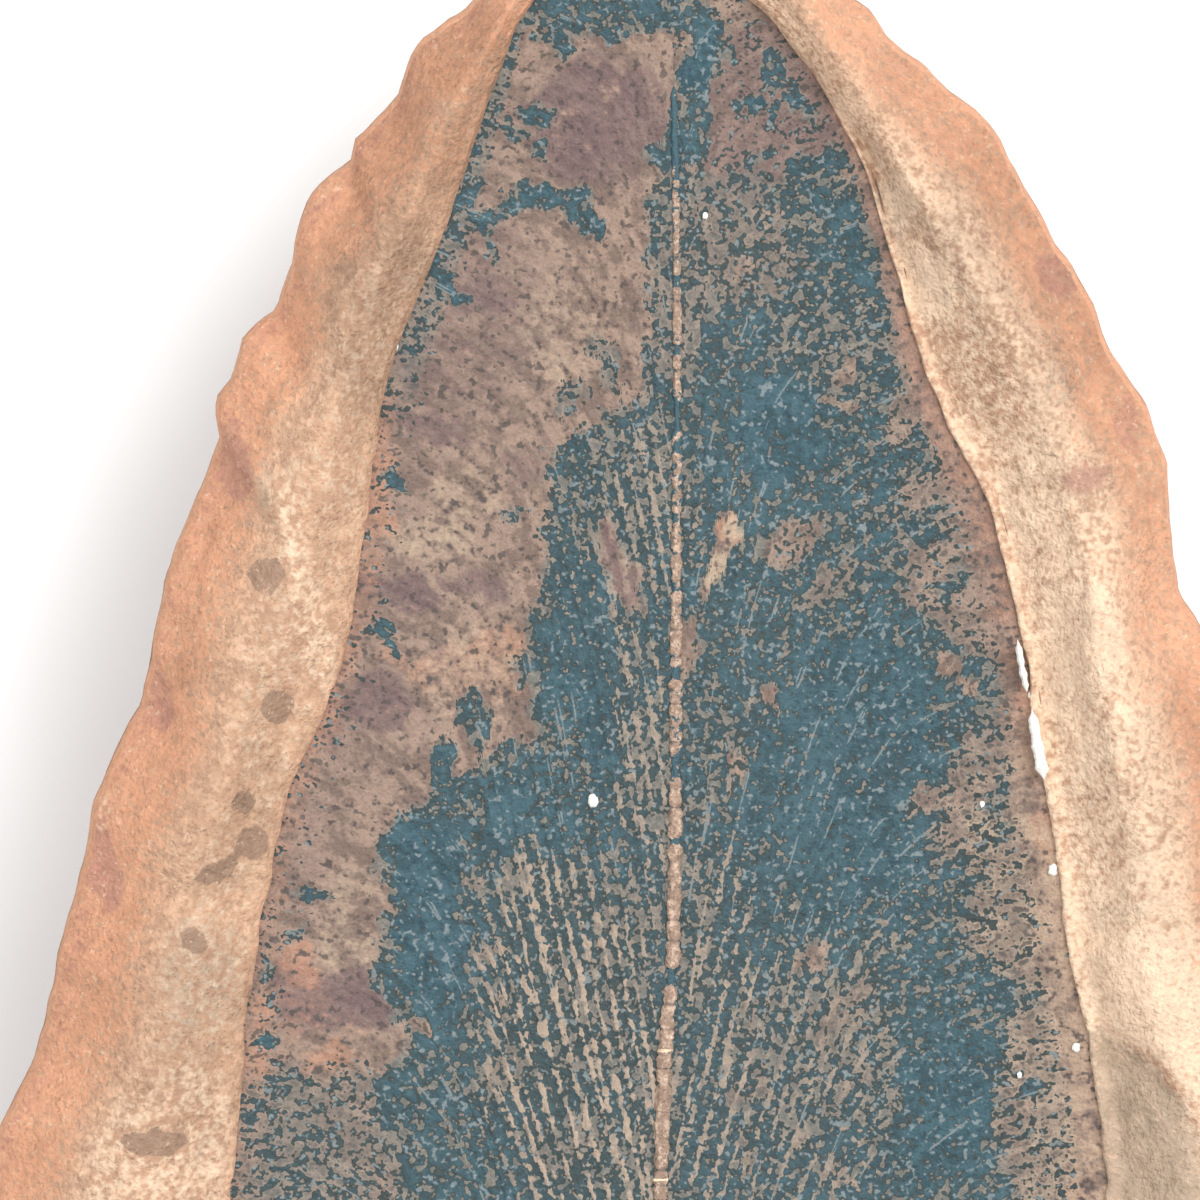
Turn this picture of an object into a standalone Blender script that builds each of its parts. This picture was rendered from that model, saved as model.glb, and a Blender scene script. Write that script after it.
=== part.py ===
"""Fossil fern plate: one half of a split ironstone nodule with a single fern leaflet on its face.

The stone lies on its rounded back, on a flat patch at z = 0, with the split face up.
+X is to the right of the leaf, +Y runs up the leaf to its tip and +Z out of the face.
The origin is under the middle of the stone. All drawn sizes are millimetres, turned to metres at the end.
"""

import math

import bmesh
import bpy
import numpy as np
from mathutils import Vector, noise

MM = 0.001

# Heights above the table, in mm.
LEAF_MARGIN_Z = 13.4  # the leaf's upper side at its margin
LEAF_THICKNESS = 0.5
BED_CLEARANCE = 0.35  # gap under the leaf
BED_SIDE_GAP = 0.3  # gap round the leaf
DISH_DEPTH = 0.9  # how far the blade sinks between margin and midrib
MIDRIB_RISE = 0.35
MIDRIB_HALF_WIDTH = 0.5
MIDRIB_SWELL = (-28.0, -25.0)  # it rises out of the leaf's foot between these places
MIDRIB_FADE = (26.0, 36.0)  # and sinks into the blade between these
VEIN_RISE = 0.16

# The split face outside the leaf. A share runs from the leaf (0) to the broken edge of the stone (1).
RIM_STEP = 0.4  # the rock stands this much above the leaf's margin
CREST_RISE = 1.3
CREST_SHARE = 0.42
EDGE_DROP = 2.2  # fall of the face from the crest to the broken edge
FULL_RIM = 6.0  # a narrower rim has a lower crest
CHIP_DEPTH = 1.3  # how far the edge dips for each mm that a chip bites into the outline
RIM_LUMP = 0.3
RIM_LUMP_SIZE = 4.5

# A fresh shelf beside the right margin of the leaf: (y, share where it ends at a scarp), down the rim.
SHELF_DROP = 0.5
SHELF_END = (
    (-16.0, 0.0), (-12.0, 0.2), (-8.0, 0.44), (-2.0, 0.52), (1.0, 0.44), (3.4, 0.12), (5.6, 0.1),
    (6.4, 0.3), (13.0, 0.36), (20.0, 0.42), (27.0, 0.44), (31.0, 0.25), (33.0, 0.0),
)

# The back, which bulges down from the broken edge to a flat patch.
GIRTH_BULGE = 0.35
GIRTH_DROP = 1.5
FLAT_SHARE = 0.34  # size of the flat patch, as a share of the outline
BACK_POWER = 2.2
LUMP_HEIGHT = 0.8
LUMP_SIZE = 9.0
RIND_STEP = 0.45  # where the outer rind has come off
RIND_PATCH_SIZE = 13.0
# Flat breaks across the back: each one's direction (x, y), where it starts and how steeply it rises.
SPALLS = ((0.8, -0.6, 13.0, 0.45), (-0.95, 0.3, 9.5, 0.62), (0.5, 0.87, 17.5, 0.4))

SEGMENTS = 128
SEGMENT_TURN = math.radians(-1.35)  # puts one segment on the leaf's tip
SLOPE_STEP = 0.02
BED_SHARES = (0.0, 0.4, 0.75, 1.0)
RIM_SHARES = (0.0, 0.12, 0.27, 0.42, 0.57, 0.73, 0.88, 1.0)
BACK_SHARES = (1.0, 0.96, 0.9, 0.83, 0.76, 0.69, 0.61, 0.52, 0.43, FLAT_SHARE, 0.0)

VEINS_PER_SIDE = 32
VEIN_BUNCHING = 0.3  # 0 spaces the veins evenly on the margin, 1 on the midrib
ROWS_ACROSS = 6  # faces from the midrib to each margin
ROW_CROWDING = 1.3  # over 1, the rows are closer together by the midrib

# The broken outline of the stone, anticlockwise from the top.
STONE_OUTLINE = (
    (1.7, 40.6), (0.0, 40.4), (-1.7, 39.6), (-3.0, 38.5), (-4.2, 37.2), (-5.9, 35.5), (-6.9, 34.8),
    (-7.7, 33.0), (-9.2, 31.2), (-10.7, 29.4), (-11.1, 27.5), (-11.6, 26.1), (-12.7, 25.1), (-13.5, 23.2),
    (-13.4, 21.9), (-14.2, 19.8), (-15.1, 17.3), (-15.7, 14.4), (-16.4, 12.5), (-17.3, 10.4), (-17.5, 9.0),
    (-18.3, 6.1), (-18.9, 3.2), (-20.0, 0.6), (-20.9, -1.9), (-21.6, -6.4), (-22.1, -10.6), (-22.4, -12.8),
    (-22.0, -17.6), (-21.1, -22.1), (-19.5, -26.6), (-17.3, -30.7), (-13.6, -34.7), (-9.1, -38.0),
    (-3.2, -40.3), (0.0, -40.6), (5.8, -39.8), (11.0, -37.1), (15.4, -32.8), (18.9, -27.5), (21.1, -21.9),
    (22.2, -16.3), (22.4, -13.4), (21.9, -7.7), (21.4, -2.2), (20.5, 2.9), (19.5, 8.3), (18.6, 13.1),
    (17.9, 15.8), (17.0, 18.2), (16.8, 21.2), (16.0, 23.2), (14.8, 25.1), (13.9, 27.2), (12.8, 29.1),
    (11.5, 31.6), (9.9, 33.1), (8.4, 34.5), (6.7, 36.2), (4.9, 38.7), (3.3, 40.1),
)

LEAF_TIP = (0.9, 38.1)
LEAF_FOOT = (0.71, -28.0)
LEFT_MARGIN = (
    (-2.2, -30.1), (-6.8, -28.6), (-10.2, -24.0), (-12.4, -15.0), (-13.1, -5.4), (-12.9, 0.0), (-12.3, 5.9),
    (-10.9, 11.7), (-9.3, 16.2), (-8.3, 22.9), (-6.3, 28.7), (-4.3, 34.5), (-1.8, 37.5),
)
RIGHT_MARGIN = (
    (3.5, -30.3), (7.9, -28.8), (11.6, -24.0), (14.4, -14.4), (15.1, -5.1), (14.3, 3.0), (13.3, 9.0),
    (12.1, 16.3), (10.4, 21.5), (8.0, 28.2), (6.0, 33.1), (3.9, 35.8),
)
MIDRIB = (LEAF_FOOT, (0.4, -12.0), (0.6, 1.6), (1.1, 13.8), (1.2, 25.0), (1.1, 33.0), LEAF_TIP)

# How the side veins run: almost along the midrib at first, then arching out to the margin.
# Each pair is the share of the margin where a vein ends and the share of the midrib where it leaves.
VEIN_STARTS = (
    (0.0, 0.0), (0.3, 0.012), (0.475, 0.035), (0.61, 0.15), (0.775, 0.46), (0.885, 0.69), (1.0, 1.0),
)
FAN_END = 0.475  # the share of the margin that the veins of the leaf's foot reach
START_ANGLE = math.radians(8)
FOOT_ANGLE = math.radians(128)
ARRIVAL_LIFT = 0.14
START_PULL = 0.5
ARRIVAL_PULL = 0.24

IRONSTONE = (0.62, 0.43, 0.29, 1)
LEAF_FILM = (0.16, 0.19, 0.2, 1)


def clear_scene():
    """Remove what a new Blender scene starts with."""
    for thing in list(bpy.data.objects):
        bpy.data.objects.remove(thing, do_unlink=True)


def smooth_through(points, steps=12):
    """Points on a Catmull-Rom curve through the given ones, with this many steps between two of them."""
    points = np.array(points, float)
    padded = np.vstack([2 * points[0] - points[1], points, 2 * points[-1] - points[-2]])
    t = np.linspace(0, 1, steps, endpoint=False)[:, None]
    runs = []
    for a, b, c, d in zip(padded, padded[1:], padded[2:], padded[3:]):
        bend = (2 * a - 5 * b + 4 * c - d) * t**2 + (3 * b - a - 3 * c + d) * t**3
        runs.append(0.5 * (2 * b + (c - a) * t + bend))
    return np.vstack([*runs, points[-1]])


def along(curve, share):
    """The point at this share of a curve's length."""
    steps = np.linalg.norm(np.diff(curve, axis=0), axis=1)
    distance = np.concatenate([[0], np.cumsum(steps)])
    at = np.clip(share, 0, 1) * distance[-1]
    return np.array([np.interp(at, distance, curve[:, 0]), np.interp(at, distance, curve[:, 1])])


def radius_by_angle(loop):
    """A function that gives the distance from the origin to the loop in a direction."""
    angles = np.arctan2(loop[:, 1], loop[:, 0])
    radii = np.hypot(loop[:, 0], loop[:, 1])
    return lambda angle: np.interp(angle, angles, radii, period=2 * math.pi)


LEFT_CURVE = smooth_through((LEAF_FOOT,) + LEFT_MARGIN + (LEAF_TIP,))
RIGHT_CURVE = smooth_through((LEAF_FOOT,) + RIGHT_MARGIN + (LEAF_TIP,))
LEAF_LOOP = np.vstack([RIGHT_CURVE, LEFT_CURVE[::-1]])
MIDRIB_CURVE = smooth_through(MIDRIB)
STONE_LOOP = np.array(STONE_OUTLINE)
START_CURVE = smooth_through(VEIN_STARTS)

leaf_radius = radius_by_angle(LEAF_LOOP)
stone_radius = radius_by_angle(STONE_LOOP)


def whole_radius(angle):
    """The stone's outline as it was before the chips, about an 18 degree running mean."""
    window = np.radians(np.linspace(-9, 9, 7))
    return float(np.mean([stone_radius(angle + turn) for turn in window]))


def ramp(value, low, high):
    """0 below low, 1 above high and a smooth rise between."""
    t = min(max((value - low) / (high - low), 0.0), 1.0)
    return t * t * (3 - 2 * t)


def dish(x, y):
    """How far the blade lies below its margin at a point: two hollows with the midrib's ridge between."""
    q = min(math.hypot(x, y) / float(leaf_radius(math.atan2(y, x))), 1.0)
    middle = np.interp(y, MIDRIB_CURVE[:, 1], MIDRIB_CURVE[:, 0])
    side = RIGHT_CURVE if x > middle else LEFT_CURVE
    half_width = abs(np.interp(y, side[:, 1], side[:, 0]) - middle) + 0.5
    across = min(abs(x - middle) / half_width / 0.5, 1.0)
    cross = 1 - 0.5 * math.cos(math.pi / 2 * across) ** 2
    return DISH_DEPTH * cross * (1 - q**4)


def bed_radius(angle):
    """Distance from the origin to the side of the leaf's bed, which keeps an even gap round the leaf."""
    radius = float(leaf_radius(angle))
    before, after = leaf_radius(np.array([angle - SLOPE_STEP, angle + SLOPE_STEP]))
    slope = float(after - before) / (2 * SLOPE_STEP)
    return radius + BED_SIDE_GAP * math.hypot(1, slope / radius)


def bed_point(share, angle):
    """A point of the floor that the leaf lies on, from its middle (share 0) to its side (share 1)."""
    radius = bed_radius(angle) * share
    floor = LEAF_MARGIN_Z - LEAF_THICKNESS - BED_CLEARANCE - (DISH_DEPTH + 0.05) * (1 - share**4)
    return (radius * math.cos(angle), radius * math.sin(angle), floor)


def rim_point(share, angle):
    """A point of the split face between the leaf's bed and the broken edge."""
    inner = bed_radius(angle)
    outer = float(stone_radius(angle))
    radius = inner + (outer - inner) * share
    x, y = radius * math.cos(angle), radius * math.sin(angle)
    width = min((outer - inner) / FULL_RIM, 1.0)
    up = CREST_RISE * width * ramp(share, 0, CREST_SHARE)
    up -= EDGE_DROP * (0.5 + 0.5 * width) * ramp(share, CREST_SHARE, 1.12)
    up -= CHIP_DEPTH * max(whole_radius(angle) - outer, 0.0) * ramp(share, 0.6, 1.0)
    if x > 0:
        shelf_end = np.interp(y, *zip(*SHELF_END))
        up -= SHELF_DROP * min(shelf_end / 0.1, 1) * ramp(share, 0.0, 0.08) * (share < shelf_end)
    up += RIM_LUMP * noise.noise(Vector((x, y, 0)) / RIM_LUMP_SIZE) * ramp(share, 0, 0.2)
    return (x, y, LEAF_MARGIN_Z + RIM_STEP + up)


def back_point(share, angle):
    """A point of the rounded back, from the edge (share 1) to the middle of the flat patch (share 0)."""
    radius = (float(stone_radius(angle)) + GIRTH_BULGE) * share
    x, y = radius * math.cos(angle), radius * math.sin(angle)
    girth = rim_point(1, angle)[2] - GIRTH_DROP
    lens = 1 - math.sqrt(max(1 - share**BACK_POWER, 0.0))
    flat = 1 - math.sqrt(1 - FLAT_SHARE**BACK_POWER)
    height = girth * max(lens - flat, 0.0) / (1 - flat)
    for along_x, along_y, start, slope in SPALLS:
        height = max(height, slope * (x * along_x + y * along_y - start))
    height = min(height, girth)
    here = Vector((x, y, height))
    rough = LUMP_HEIGHT * noise.noise(here / LUMP_SIZE + Vector((1.3, 5.1, 0.4)))
    rough += RIND_STEP * ramp(noise.noise(here / RIND_PATCH_SIZE), -0.03, 0.03)
    return (x, y, max(height + rough * ramp(share, FLAT_SHARE, 0.6), 0.0))


def stone_point(ring, angle):
    """A point of the stone: ring 0 is the middle of the bed, the last ring the middle of the flat patch."""
    if ring < len(BED_SHARES):
        return bed_point(BED_SHARES[ring], angle)
    ring -= len(BED_SHARES)
    if ring < len(RIM_SHARES):
        return rim_point(RIM_SHARES[ring], angle)
    return back_point(BACK_SHARES[ring - len(RIM_SHARES)], angle)


def build_stone():
    """The nodule half: a sphere whose rings are laid over the bed, the rim, the edge and the back."""
    rings = len(BED_SHARES) + len(RIM_SHARES) + len(BACK_SHARES) - 1
    shape = bmesh.new()
    bmesh.ops.create_uvsphere(shape, u_segments=SEGMENTS, v_segments=rings, radius=1)
    for vertex in shape.verts:
        down = math.acos(max(-1.0, min(1.0, vertex.co.z)))
        angle = math.atan2(vertex.co.y, vertex.co.x) + SEGMENT_TURN
        vertex.co = Vector(stone_point(round(down / math.pi * rings), angle)) * MM
    return finish_piece("nodule_stone", shape, IRONSTONE, roughness=0.85)


def vein_start(u):
    """The share of the midrib where the vein that ends at this share of the margin leaves."""
    return np.interp(u, START_CURVE[:, 0], START_CURVE[:, 1])


def vein_place(share):
    """The end on the margin of the vein that is this far up the side's row of veins."""
    ends = np.linspace(0, 1, 400)
    count = (1 - VEIN_BUNCHING) * ends + VEIN_BUNCHING * vein_start(ends)
    return np.interp(share, count, ends)


def vein_point(u, v):
    """A point of the blade: u from the leaf's foot (0) to its tip (1), |v| from midrib to margin."""
    side = 1 if v > 0 else -1
    margin = RIGHT_CURVE if v > 0 else LEFT_CURVE
    end = along(margin, u)
    run = along(margin, u + 0.01) - along(margin, u - 0.01)
    outward = np.array([run[1], -run[0]]) * side
    outward = outward / max(np.linalg.norm(outward), 1e-6)
    start = along(MIDRIB_CURVE, vein_start(u))
    lean = START_ANGLE + (FOOT_ANGLE - START_ANGLE) * (1 - min(u / FAN_END, 1)) ** 2
    leaving = np.array([side * math.sin(lean), math.cos(lean)])
    arriving = outward + np.array([0, ARRIVAL_LIFT])
    arriving = arriving / np.linalg.norm(arriving)
    reach = np.linalg.norm(end - start)
    first = start + leaving * reach * START_PULL
    second = end - arriving * reach * ARRIVAL_PULL
    t = abs(v)
    return (1 - t) ** 3 * start + 3 * (1 - t) ** 2 * t * first + 3 * (1 - t) * t**2 * second + t**3 * end


def leaf_height(x, y, u_step, v):
    """Height of the leaf's upper side, with its midrib and every other grid line raised as a vein."""
    middle = np.interp(y, MIDRIB_CURVE[:, 1], MIDRIB_CURVE[:, 0])
    rib = max(1 - abs(x - middle) / MIDRIB_HALF_WIDTH, 0.0)
    fade = ramp(y, *MIDRIB_SWELL) * (1 - ramp(y, *MIDRIB_FADE))
    vein = VEIN_RISE * (u_step % 2) * ramp(abs(v), 0.1, 0.5) * (1 - ramp(abs(v), 0.75, 1.0))
    return LEAF_MARGIN_Z - dish(x, y) + MIDRIB_RISE * rib * fade + vein


def build_leaf():
    """The fossil leaf: a grid laid along its veins, then thickened downwards."""
    shape = bmesh.new()
    rows = 2 * VEINS_PER_SIDE
    bmesh.ops.create_grid(shape, x_segments=2 * ROWS_ACROSS, y_segments=rows, size=1)
    for vertex in shape.verts:
        u_step = round((vertex.co.y + 1) / 2 * rows)
        v = math.copysign(abs(vertex.co.x) ** ROW_CROWDING, vertex.co.x)
        x, y = vein_point(vein_place(u_step / rows), v)
        vertex.co = Vector((x, y, leaf_height(x, y, u_step, v))) * MM
    bmesh.ops.remove_doubles(shape, verts=shape.verts, dist=0.01 * MM)
    bmesh.ops.recalc_face_normals(shape, faces=shape.faces)
    leaf = finish_piece("fern_leaf", shape, LEAF_FILM, roughness=0.55)
    wall = leaf.modifiers.new("thickness", "SOLIDIFY")
    wall.thickness = LEAF_THICKNESS * MM
    wall.offset = -1
    return leaf


def finish_piece(name, shape, colour, roughness):
    """Turn a finished bmesh into a named object with its own material."""
    mesh = bpy.data.meshes.new(name)
    shape.to_mesh(mesh)
    shape.free()
    mesh.shade_smooth()
    mesh.set_sharp_from_angle(angle=math.radians(50))
    material = bpy.data.materials.new(name)
    material.use_nodes = True
    surface = material.node_tree.nodes["Principled BSDF"]
    surface.inputs["Base Color"].default_value = colour
    surface.inputs["Roughness"].default_value = roughness
    mesh.materials.append(material)
    piece = bpy.data.objects.new(name, mesh)
    bpy.data.collections["fossil_fern_plate"].objects.link(piece)
    return piece


def main():
    clear_scene()
    collection = bpy.data.collections.new("fossil_fern_plate")
    bpy.context.scene.collection.children.link(collection)
    build_stone()
    build_leaf()


main()
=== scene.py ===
"""The looks of the fossil fern plate.

Half of a split ironstone nodule lies face up and carries one seed-fern leaflet, pressed into the face as
two hollow blades with a beaded midrib between them. Patches of blue-black carbon film cling to the blades.
All drawn sizes are millimetres in the frame's axes: +X right of the leaflet, +Y to its tip, +Z out of the face.
"""

from __future__ import annotations

import logging
import math
from dataclasses import dataclass
from enum import Enum
from functools import cached_property
from typing import Sequence

import bmesh
import bpy
import numpy as np
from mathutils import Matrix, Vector, noise


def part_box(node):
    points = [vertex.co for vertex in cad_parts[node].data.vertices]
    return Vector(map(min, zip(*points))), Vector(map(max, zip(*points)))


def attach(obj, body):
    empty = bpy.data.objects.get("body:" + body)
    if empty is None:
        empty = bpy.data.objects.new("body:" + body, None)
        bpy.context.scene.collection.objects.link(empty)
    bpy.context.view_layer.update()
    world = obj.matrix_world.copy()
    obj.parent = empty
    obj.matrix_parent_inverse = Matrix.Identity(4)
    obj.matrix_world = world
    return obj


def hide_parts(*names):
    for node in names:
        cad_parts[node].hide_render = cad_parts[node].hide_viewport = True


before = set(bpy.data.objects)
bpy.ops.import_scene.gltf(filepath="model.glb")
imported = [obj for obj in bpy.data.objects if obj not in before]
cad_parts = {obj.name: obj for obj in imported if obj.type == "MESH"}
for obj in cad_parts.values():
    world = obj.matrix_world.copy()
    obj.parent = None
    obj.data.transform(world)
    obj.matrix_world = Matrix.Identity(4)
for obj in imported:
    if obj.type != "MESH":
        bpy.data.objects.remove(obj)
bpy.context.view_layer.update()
LOG = logging.getLogger("fossil_fern_plate")

MM = 0.001
Array = np.ndarray
Socket = bpy.types.NodeSocket
Points = Sequence[tuple[float, float]]
Rows = Sequence[tuple[float, ...]]
Colour = tuple[float, float, float]

# ---------------------------------------------------------------------------------------------------------
# Outlines, which repeat the solids' own.

STONE_OUTLINE: Points = (
    (1.7, 40.6), (0.0, 40.4), (-1.7, 39.6), (-3.0, 38.5), (-4.2, 37.2), (-5.1, 36.2), (-5.9, 35.5), (-6.9, 34.8),
    (-7.4, 34.1), (-7.7, 33.0), (-8.4, 32.2), (-9.1, 31.5), (-9.2, 30.9), (-10.0, 30.3), (-10.7, 29.4),
    (-11.0, 28.3), (-11.1, 27.5), (-11.6, 26.1), (-12.1, 25.7), (-12.7, 25.1), (-13.0, 23.9), (-13.5, 23.2),
    (-13.5, 22.6), (-13.4, 21.9), (-13.8, 20.9), (-14.2, 19.8), (-14.8, 18.4), (-15.1, 17.3), (-15.4, 15.7),
    (-15.7, 14.4), (-15.8, 13.5), (-16.4, 12.5), (-17.0, 11.0), (-17.3, 10.4), (-17.5, 9.0), (-17.8, 7.6),
    (-18.3, 6.1), (-18.6, 4.6), (-18.9, 3.2), (-19.3, 2.0), (-20.0, 0.6), (-20.4, -0.3), (-20.9, -1.9),
    (-21.6, -6.4), (-22.1, -10.6), (-22.4, -12.8), (-22.0, -17.6), (-21.1, -22.1), (-19.5, -26.6),
    (-17.3, -30.7), (-13.6, -34.7), (-9.1, -38.0), (-3.2, -40.3), (0.0, -40.6), (5.8, -39.8), (11.0, -37.1),
    (15.4, -32.8), (18.9, -27.5), (21.1, -21.9), (22.2, -16.3), (22.4, -13.4), (21.9, -7.7), (21.4, -2.2),
    (20.5, 2.9), (19.5, 8.3), (18.6, 13.1), (18.1, 15.2), (17.9, 15.8), (17.2, 17.0), (17.0, 18.2), (16.8, 20.2),
    (16.8, 21.2), (16.5, 22.1), (16.0, 23.2), (15.3, 24.3), (14.8, 25.1), (14.5, 26.2), (13.9, 27.2),
    (13.3, 28.2), (12.8, 29.1), (12.2, 30.1), (11.8, 30.9), (11.5, 31.6), (10.7, 32.5), (9.9, 33.1), (9.1, 33.9),
    (8.4, 34.5), (7.9, 34.9), (7.4, 35.7), (6.7, 36.2), (6.0, 37.3), (4.9, 38.7), (3.3, 40.1),
)
LEAF_TIP = (0.9, 38.1)
LEAF_FOOT = (0.71, -28.0)
LEFT_MARGIN: Points = (
    (-2.2, -30.1), (-6.8, -28.6), (-10.2, -24.0), (-12.4, -15.0), (-13.1, -5.4), (-12.9, 0.0), (-12.3, 5.9),
    (-11.9, 7.7), (-11.6, 9.6), (-10.9, 11.7), (-10.0, 13.6), (-9.3, 16.2), (-8.6, 20.8), (-8.3, 22.9),
    (-7.8, 25.0), (-6.3, 28.7), (-4.9, 32.8), (-4.3, 34.5), (-3.7, 35.8), (-1.8, 37.5),
)
RIGHT_MARGIN: Points = (
    (3.5, -30.3), (7.9, -28.8), (11.6, -24.0), (14.4, -14.4), (15.1, -5.1), (14.5, 1.9), (14.1, 4.2),
    (13.6, 6.4), (13.3, 9.0), (13.0, 10.9), (12.5, 14.1), (12.1, 16.3), (11.2, 20.0), (9.5, 23.4), (8.0, 28.2),
    (6.9, 31.4), (5.0, 34.6), (2.9, 36.7),
)
MIDRIB: Points = (
    LEAF_FOOT, (0.5, -12.0), (0.72, 0.0), (0.85, 3.0), (1.06, 5.6), (1.14, 10.0), (1.15, 13.8), (1.2, 25.0),
    (1.1, 33.0), LEAF_TIP,
)

# Sizes shared by the leaf and the stone, as in the solids.
LEAF_MARGIN_Z = 13.4
DISH_DEPTH = 0.9
RIM_STEP = 0.4


def ramp(value: Array | float, low: float, high: float) -> Array:
    """Rise smoothly from 0 to 1.

    Args:
        value: what is tested.
        low: where the rise starts.
        high: where it ends.

    Returns:
        0 below low, 1 above high and a smooth rise between.
    """
    t = np.clip((np.asarray(value, float) - low) / (high - low), 0.0, 1.0)
    return t * t * (3 - 2 * t)


def wobble(x: Array, y: Array, size: float, seed: float, z: Array | float = 0.0) -> Array:
    """Perlin noise at many points.

    Args:
        x, y, z: the points, in mm.
        size: the width of a lump, in mm.
        seed: shifts the pattern, so that each use has its own.

    Returns:
        Values from about -1 to 1, in the shape of x.
    """
    x, y, z = np.broadcast_arrays(x, y, z)
    spots = zip((x / size).ravel(), (y / size).ravel(), (z / size + seed).ravel())
    return np.array([noise.noise(spot) for spot in spots]).reshape(x.shape)


@dataclass(frozen=True)
class Noise:
    """A layer of unevenness."""

    strength: float
    size: float  # the width of its largest lumps, in mm
    seed: float  # shifts the pattern, so that each layer has its own
    octaves: int = 1  # each has half the size and half the strength of the one before
    octave_shift: float = 7.3

    def at(self, x: Array, y: Array, z: Array | float = 0.0) -> Array:
        """Measure the layer.

        Args:
            x, y, z: the points, in mm.

        Returns:
            Values up to about its strength on either side of 0.
        """
        total = wobble(x, y, self.size, self.seed, z)
        for octave in range(1, self.octaves):
            shifted = self.seed + self.octave_shift * octave
            total = total + wobble(x, y, self.size / 2**octave, shifted, z) / 2**octave
        return self.strength * total


Noises = tuple[Noise, ...]


def layers(noises: Noises, x: Array, y: Array, z: Array | float = 0.0) -> Array:
    """Add up the layers of an unevenness at points in mm."""
    return sum(layer.at(x, y, z) for layer in noises)


class Path:
    """A smooth curve in the plane of the face, through points in mm."""

    def __init__(self, points: Points, closed: bool = False, steps: int = 12) -> None:
        """Draw the curve.

        Args:
            points: the points that it passes through.
            closed: whether it returns to its start.
            steps: pieces between two points.
        """
        ends = np.array(points, float)
        if closed:
            padded = np.vstack([ends[-1], ends, ends[0], ends[1]])
        else:
            padded = np.vstack([2 * ends[0] - ends[1], ends, 2 * ends[-1] - ends[-2]])
        t = np.linspace(0, 1, steps, endpoint=False)[:, None]
        runs = []
        for a, b, c, d in zip(padded, padded[1:], padded[2:], padded[3:]):
            bend = (2 * a - 5 * b + 4 * c - d) * t**2 + (3 * b - a - 3 * c + d) * t**3
            runs.append(0.5 * (2 * b + (c - a) * t + bend))
        self.run = np.vstack(runs) if closed else np.vstack([*runs, ends[-1]])

    @cached_property
    def distance(self) -> Array:
        """The length of the curve up to each of its points."""
        steps = np.linalg.norm(np.diff(self.run, axis=0), axis=1)
        return np.concatenate([[0], np.cumsum(steps)])

    def at(self, share: Array) -> Array:
        """Find points by their share of the curve's length, one row each."""
        along = np.clip(share, 0, 1) * self.distance[-1]
        return np.stack([np.interp(along, self.distance, self.run[:, axis]) for axis in (0, 1)], axis=-1)

    def radius(self, angle: Array) -> Array:
        """Measure a closed curve's distance from the origin in given directions, in radians."""
        bearing = np.arctan2(self.run[:, 1], self.run[:, 0])
        return np.interp(angle, bearing, np.hypot(self.run[:, 0], self.run[:, 1]), period=2 * math.pi)

    def x_at(self, y: Array) -> Array:
        """Read an upward curve's x at given heights y, above its lowest point."""
        rising = self.run[int(np.argmin(self.run[:, 1])) :]
        return np.interp(y, rising[:, 1], rising[:, 0])


class Side(Enum):
    """The two blades, seen from above with the tip away from the viewer."""

    LEFT = -1
    RIGHT = 1


@dataclass(frozen=True)
class Patch:
    """A soft ellipse painted on the face, such as a piece of film, a bare window or a stain."""

    x: float
    y: float
    wide: float  # half its width, in mm
    tall: float
    strength: float
    turn: float = 0.0  # in degrees
    solid: float = 0.75  # the share of its radius where its soft side starts
    gone: float = 1.2  # and where it ends

    def over(self, value: Array, x: Array, y: Array) -> Array:
        """Paint the patch over a value.

        Args:
            value: what is there before.
            x, y: the points, in mm.

        Returns:
            The painted value.
        """
        turn = math.radians(self.turn)
        dx, dy = x - self.x, y - self.y
        across = (dx * math.cos(turn) + dy * math.sin(turn)) / self.wide
        along = (dy * math.cos(turn) - dx * math.sin(turn)) / self.tall
        cover = 1 - ramp(np.hypot(across, along), self.solid, self.gone)
        return value + (self.strength - value) * cover


def paint(value: Array, rows: Rows, x: Array, y: Array) -> Array:
    """Paint a table of patches over a value, the later ones on top.

    Args:
        value: what is there before.
        rows: the patches' numbers, in the order of Patch's fields.
        x, y: the points, in mm.

    Returns:
        The painted value.
    """
    for row in rows:
        value = Patch(*row).over(value, x, y)
    return value


# ---------------------------------------------------------------------------------------------------------
# Where the film, the tints, the stains and the painted shade lie. Each row gives a patch's x and y, half its width and
# height, its strength and, if it is turned, its turn.

FILM_LEFT_EDGE: Points = (
    (-2.0, -28.0), (-5.5, -25.0), (-7.5, -20.0), (-8.4, -15.0), (-8.8, -10.0), (-8.2, -6.0), (-7.7, -2.2),
    (-7.9, -0.6), (-8.4, 1.3), (-7.4, 2.9), (-8.3, 3.8), (-8.4, 5.8), (-8.1, 7.4), (-8.4, 8.8), (-7.7, 10.1),
    (-6.6, 10.9), (-4.6, 11.7), (-3.5, 12.2), (-3.5, 14.1), (-4.0, 14.9), (-3.2, 17.0), (-2.8, 18.9),
    (-2.8, 21.8), (-2.1, 22.4), (0.0, 23.4), (0.5, 25.6), (0.3, 28.2), (0.5, 30.4),
)
FILM_RIGHT_EDGE: Points = (
    (4.0, -27.5), (8.0, -24.0), (10.4, -19.0), (11.8, -14.0), (11.4, -10.0), (12.2, -6.0), (12.0, -2.2),
    (11.5, -0.6), (10.6, 1.0), (11.0, 2.2), (12.5, 4.2), (11.5, 5.1), (10.2, 5.8), (10.7, 8.2), (9.4, 9.0),
    (9.3, 10.6), (10.6, 12.2), (11.8, 13.9), (11.2, 14.7), (9.3, 16.3), (8.0, 17.3), (8.0, 20.5), (9.4, 21.4),
    (9.4, 23.4), (8.5, 25.0), (7.8, 27.2), (7.2, 29.8), (7.4, 32.0),
)
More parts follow.
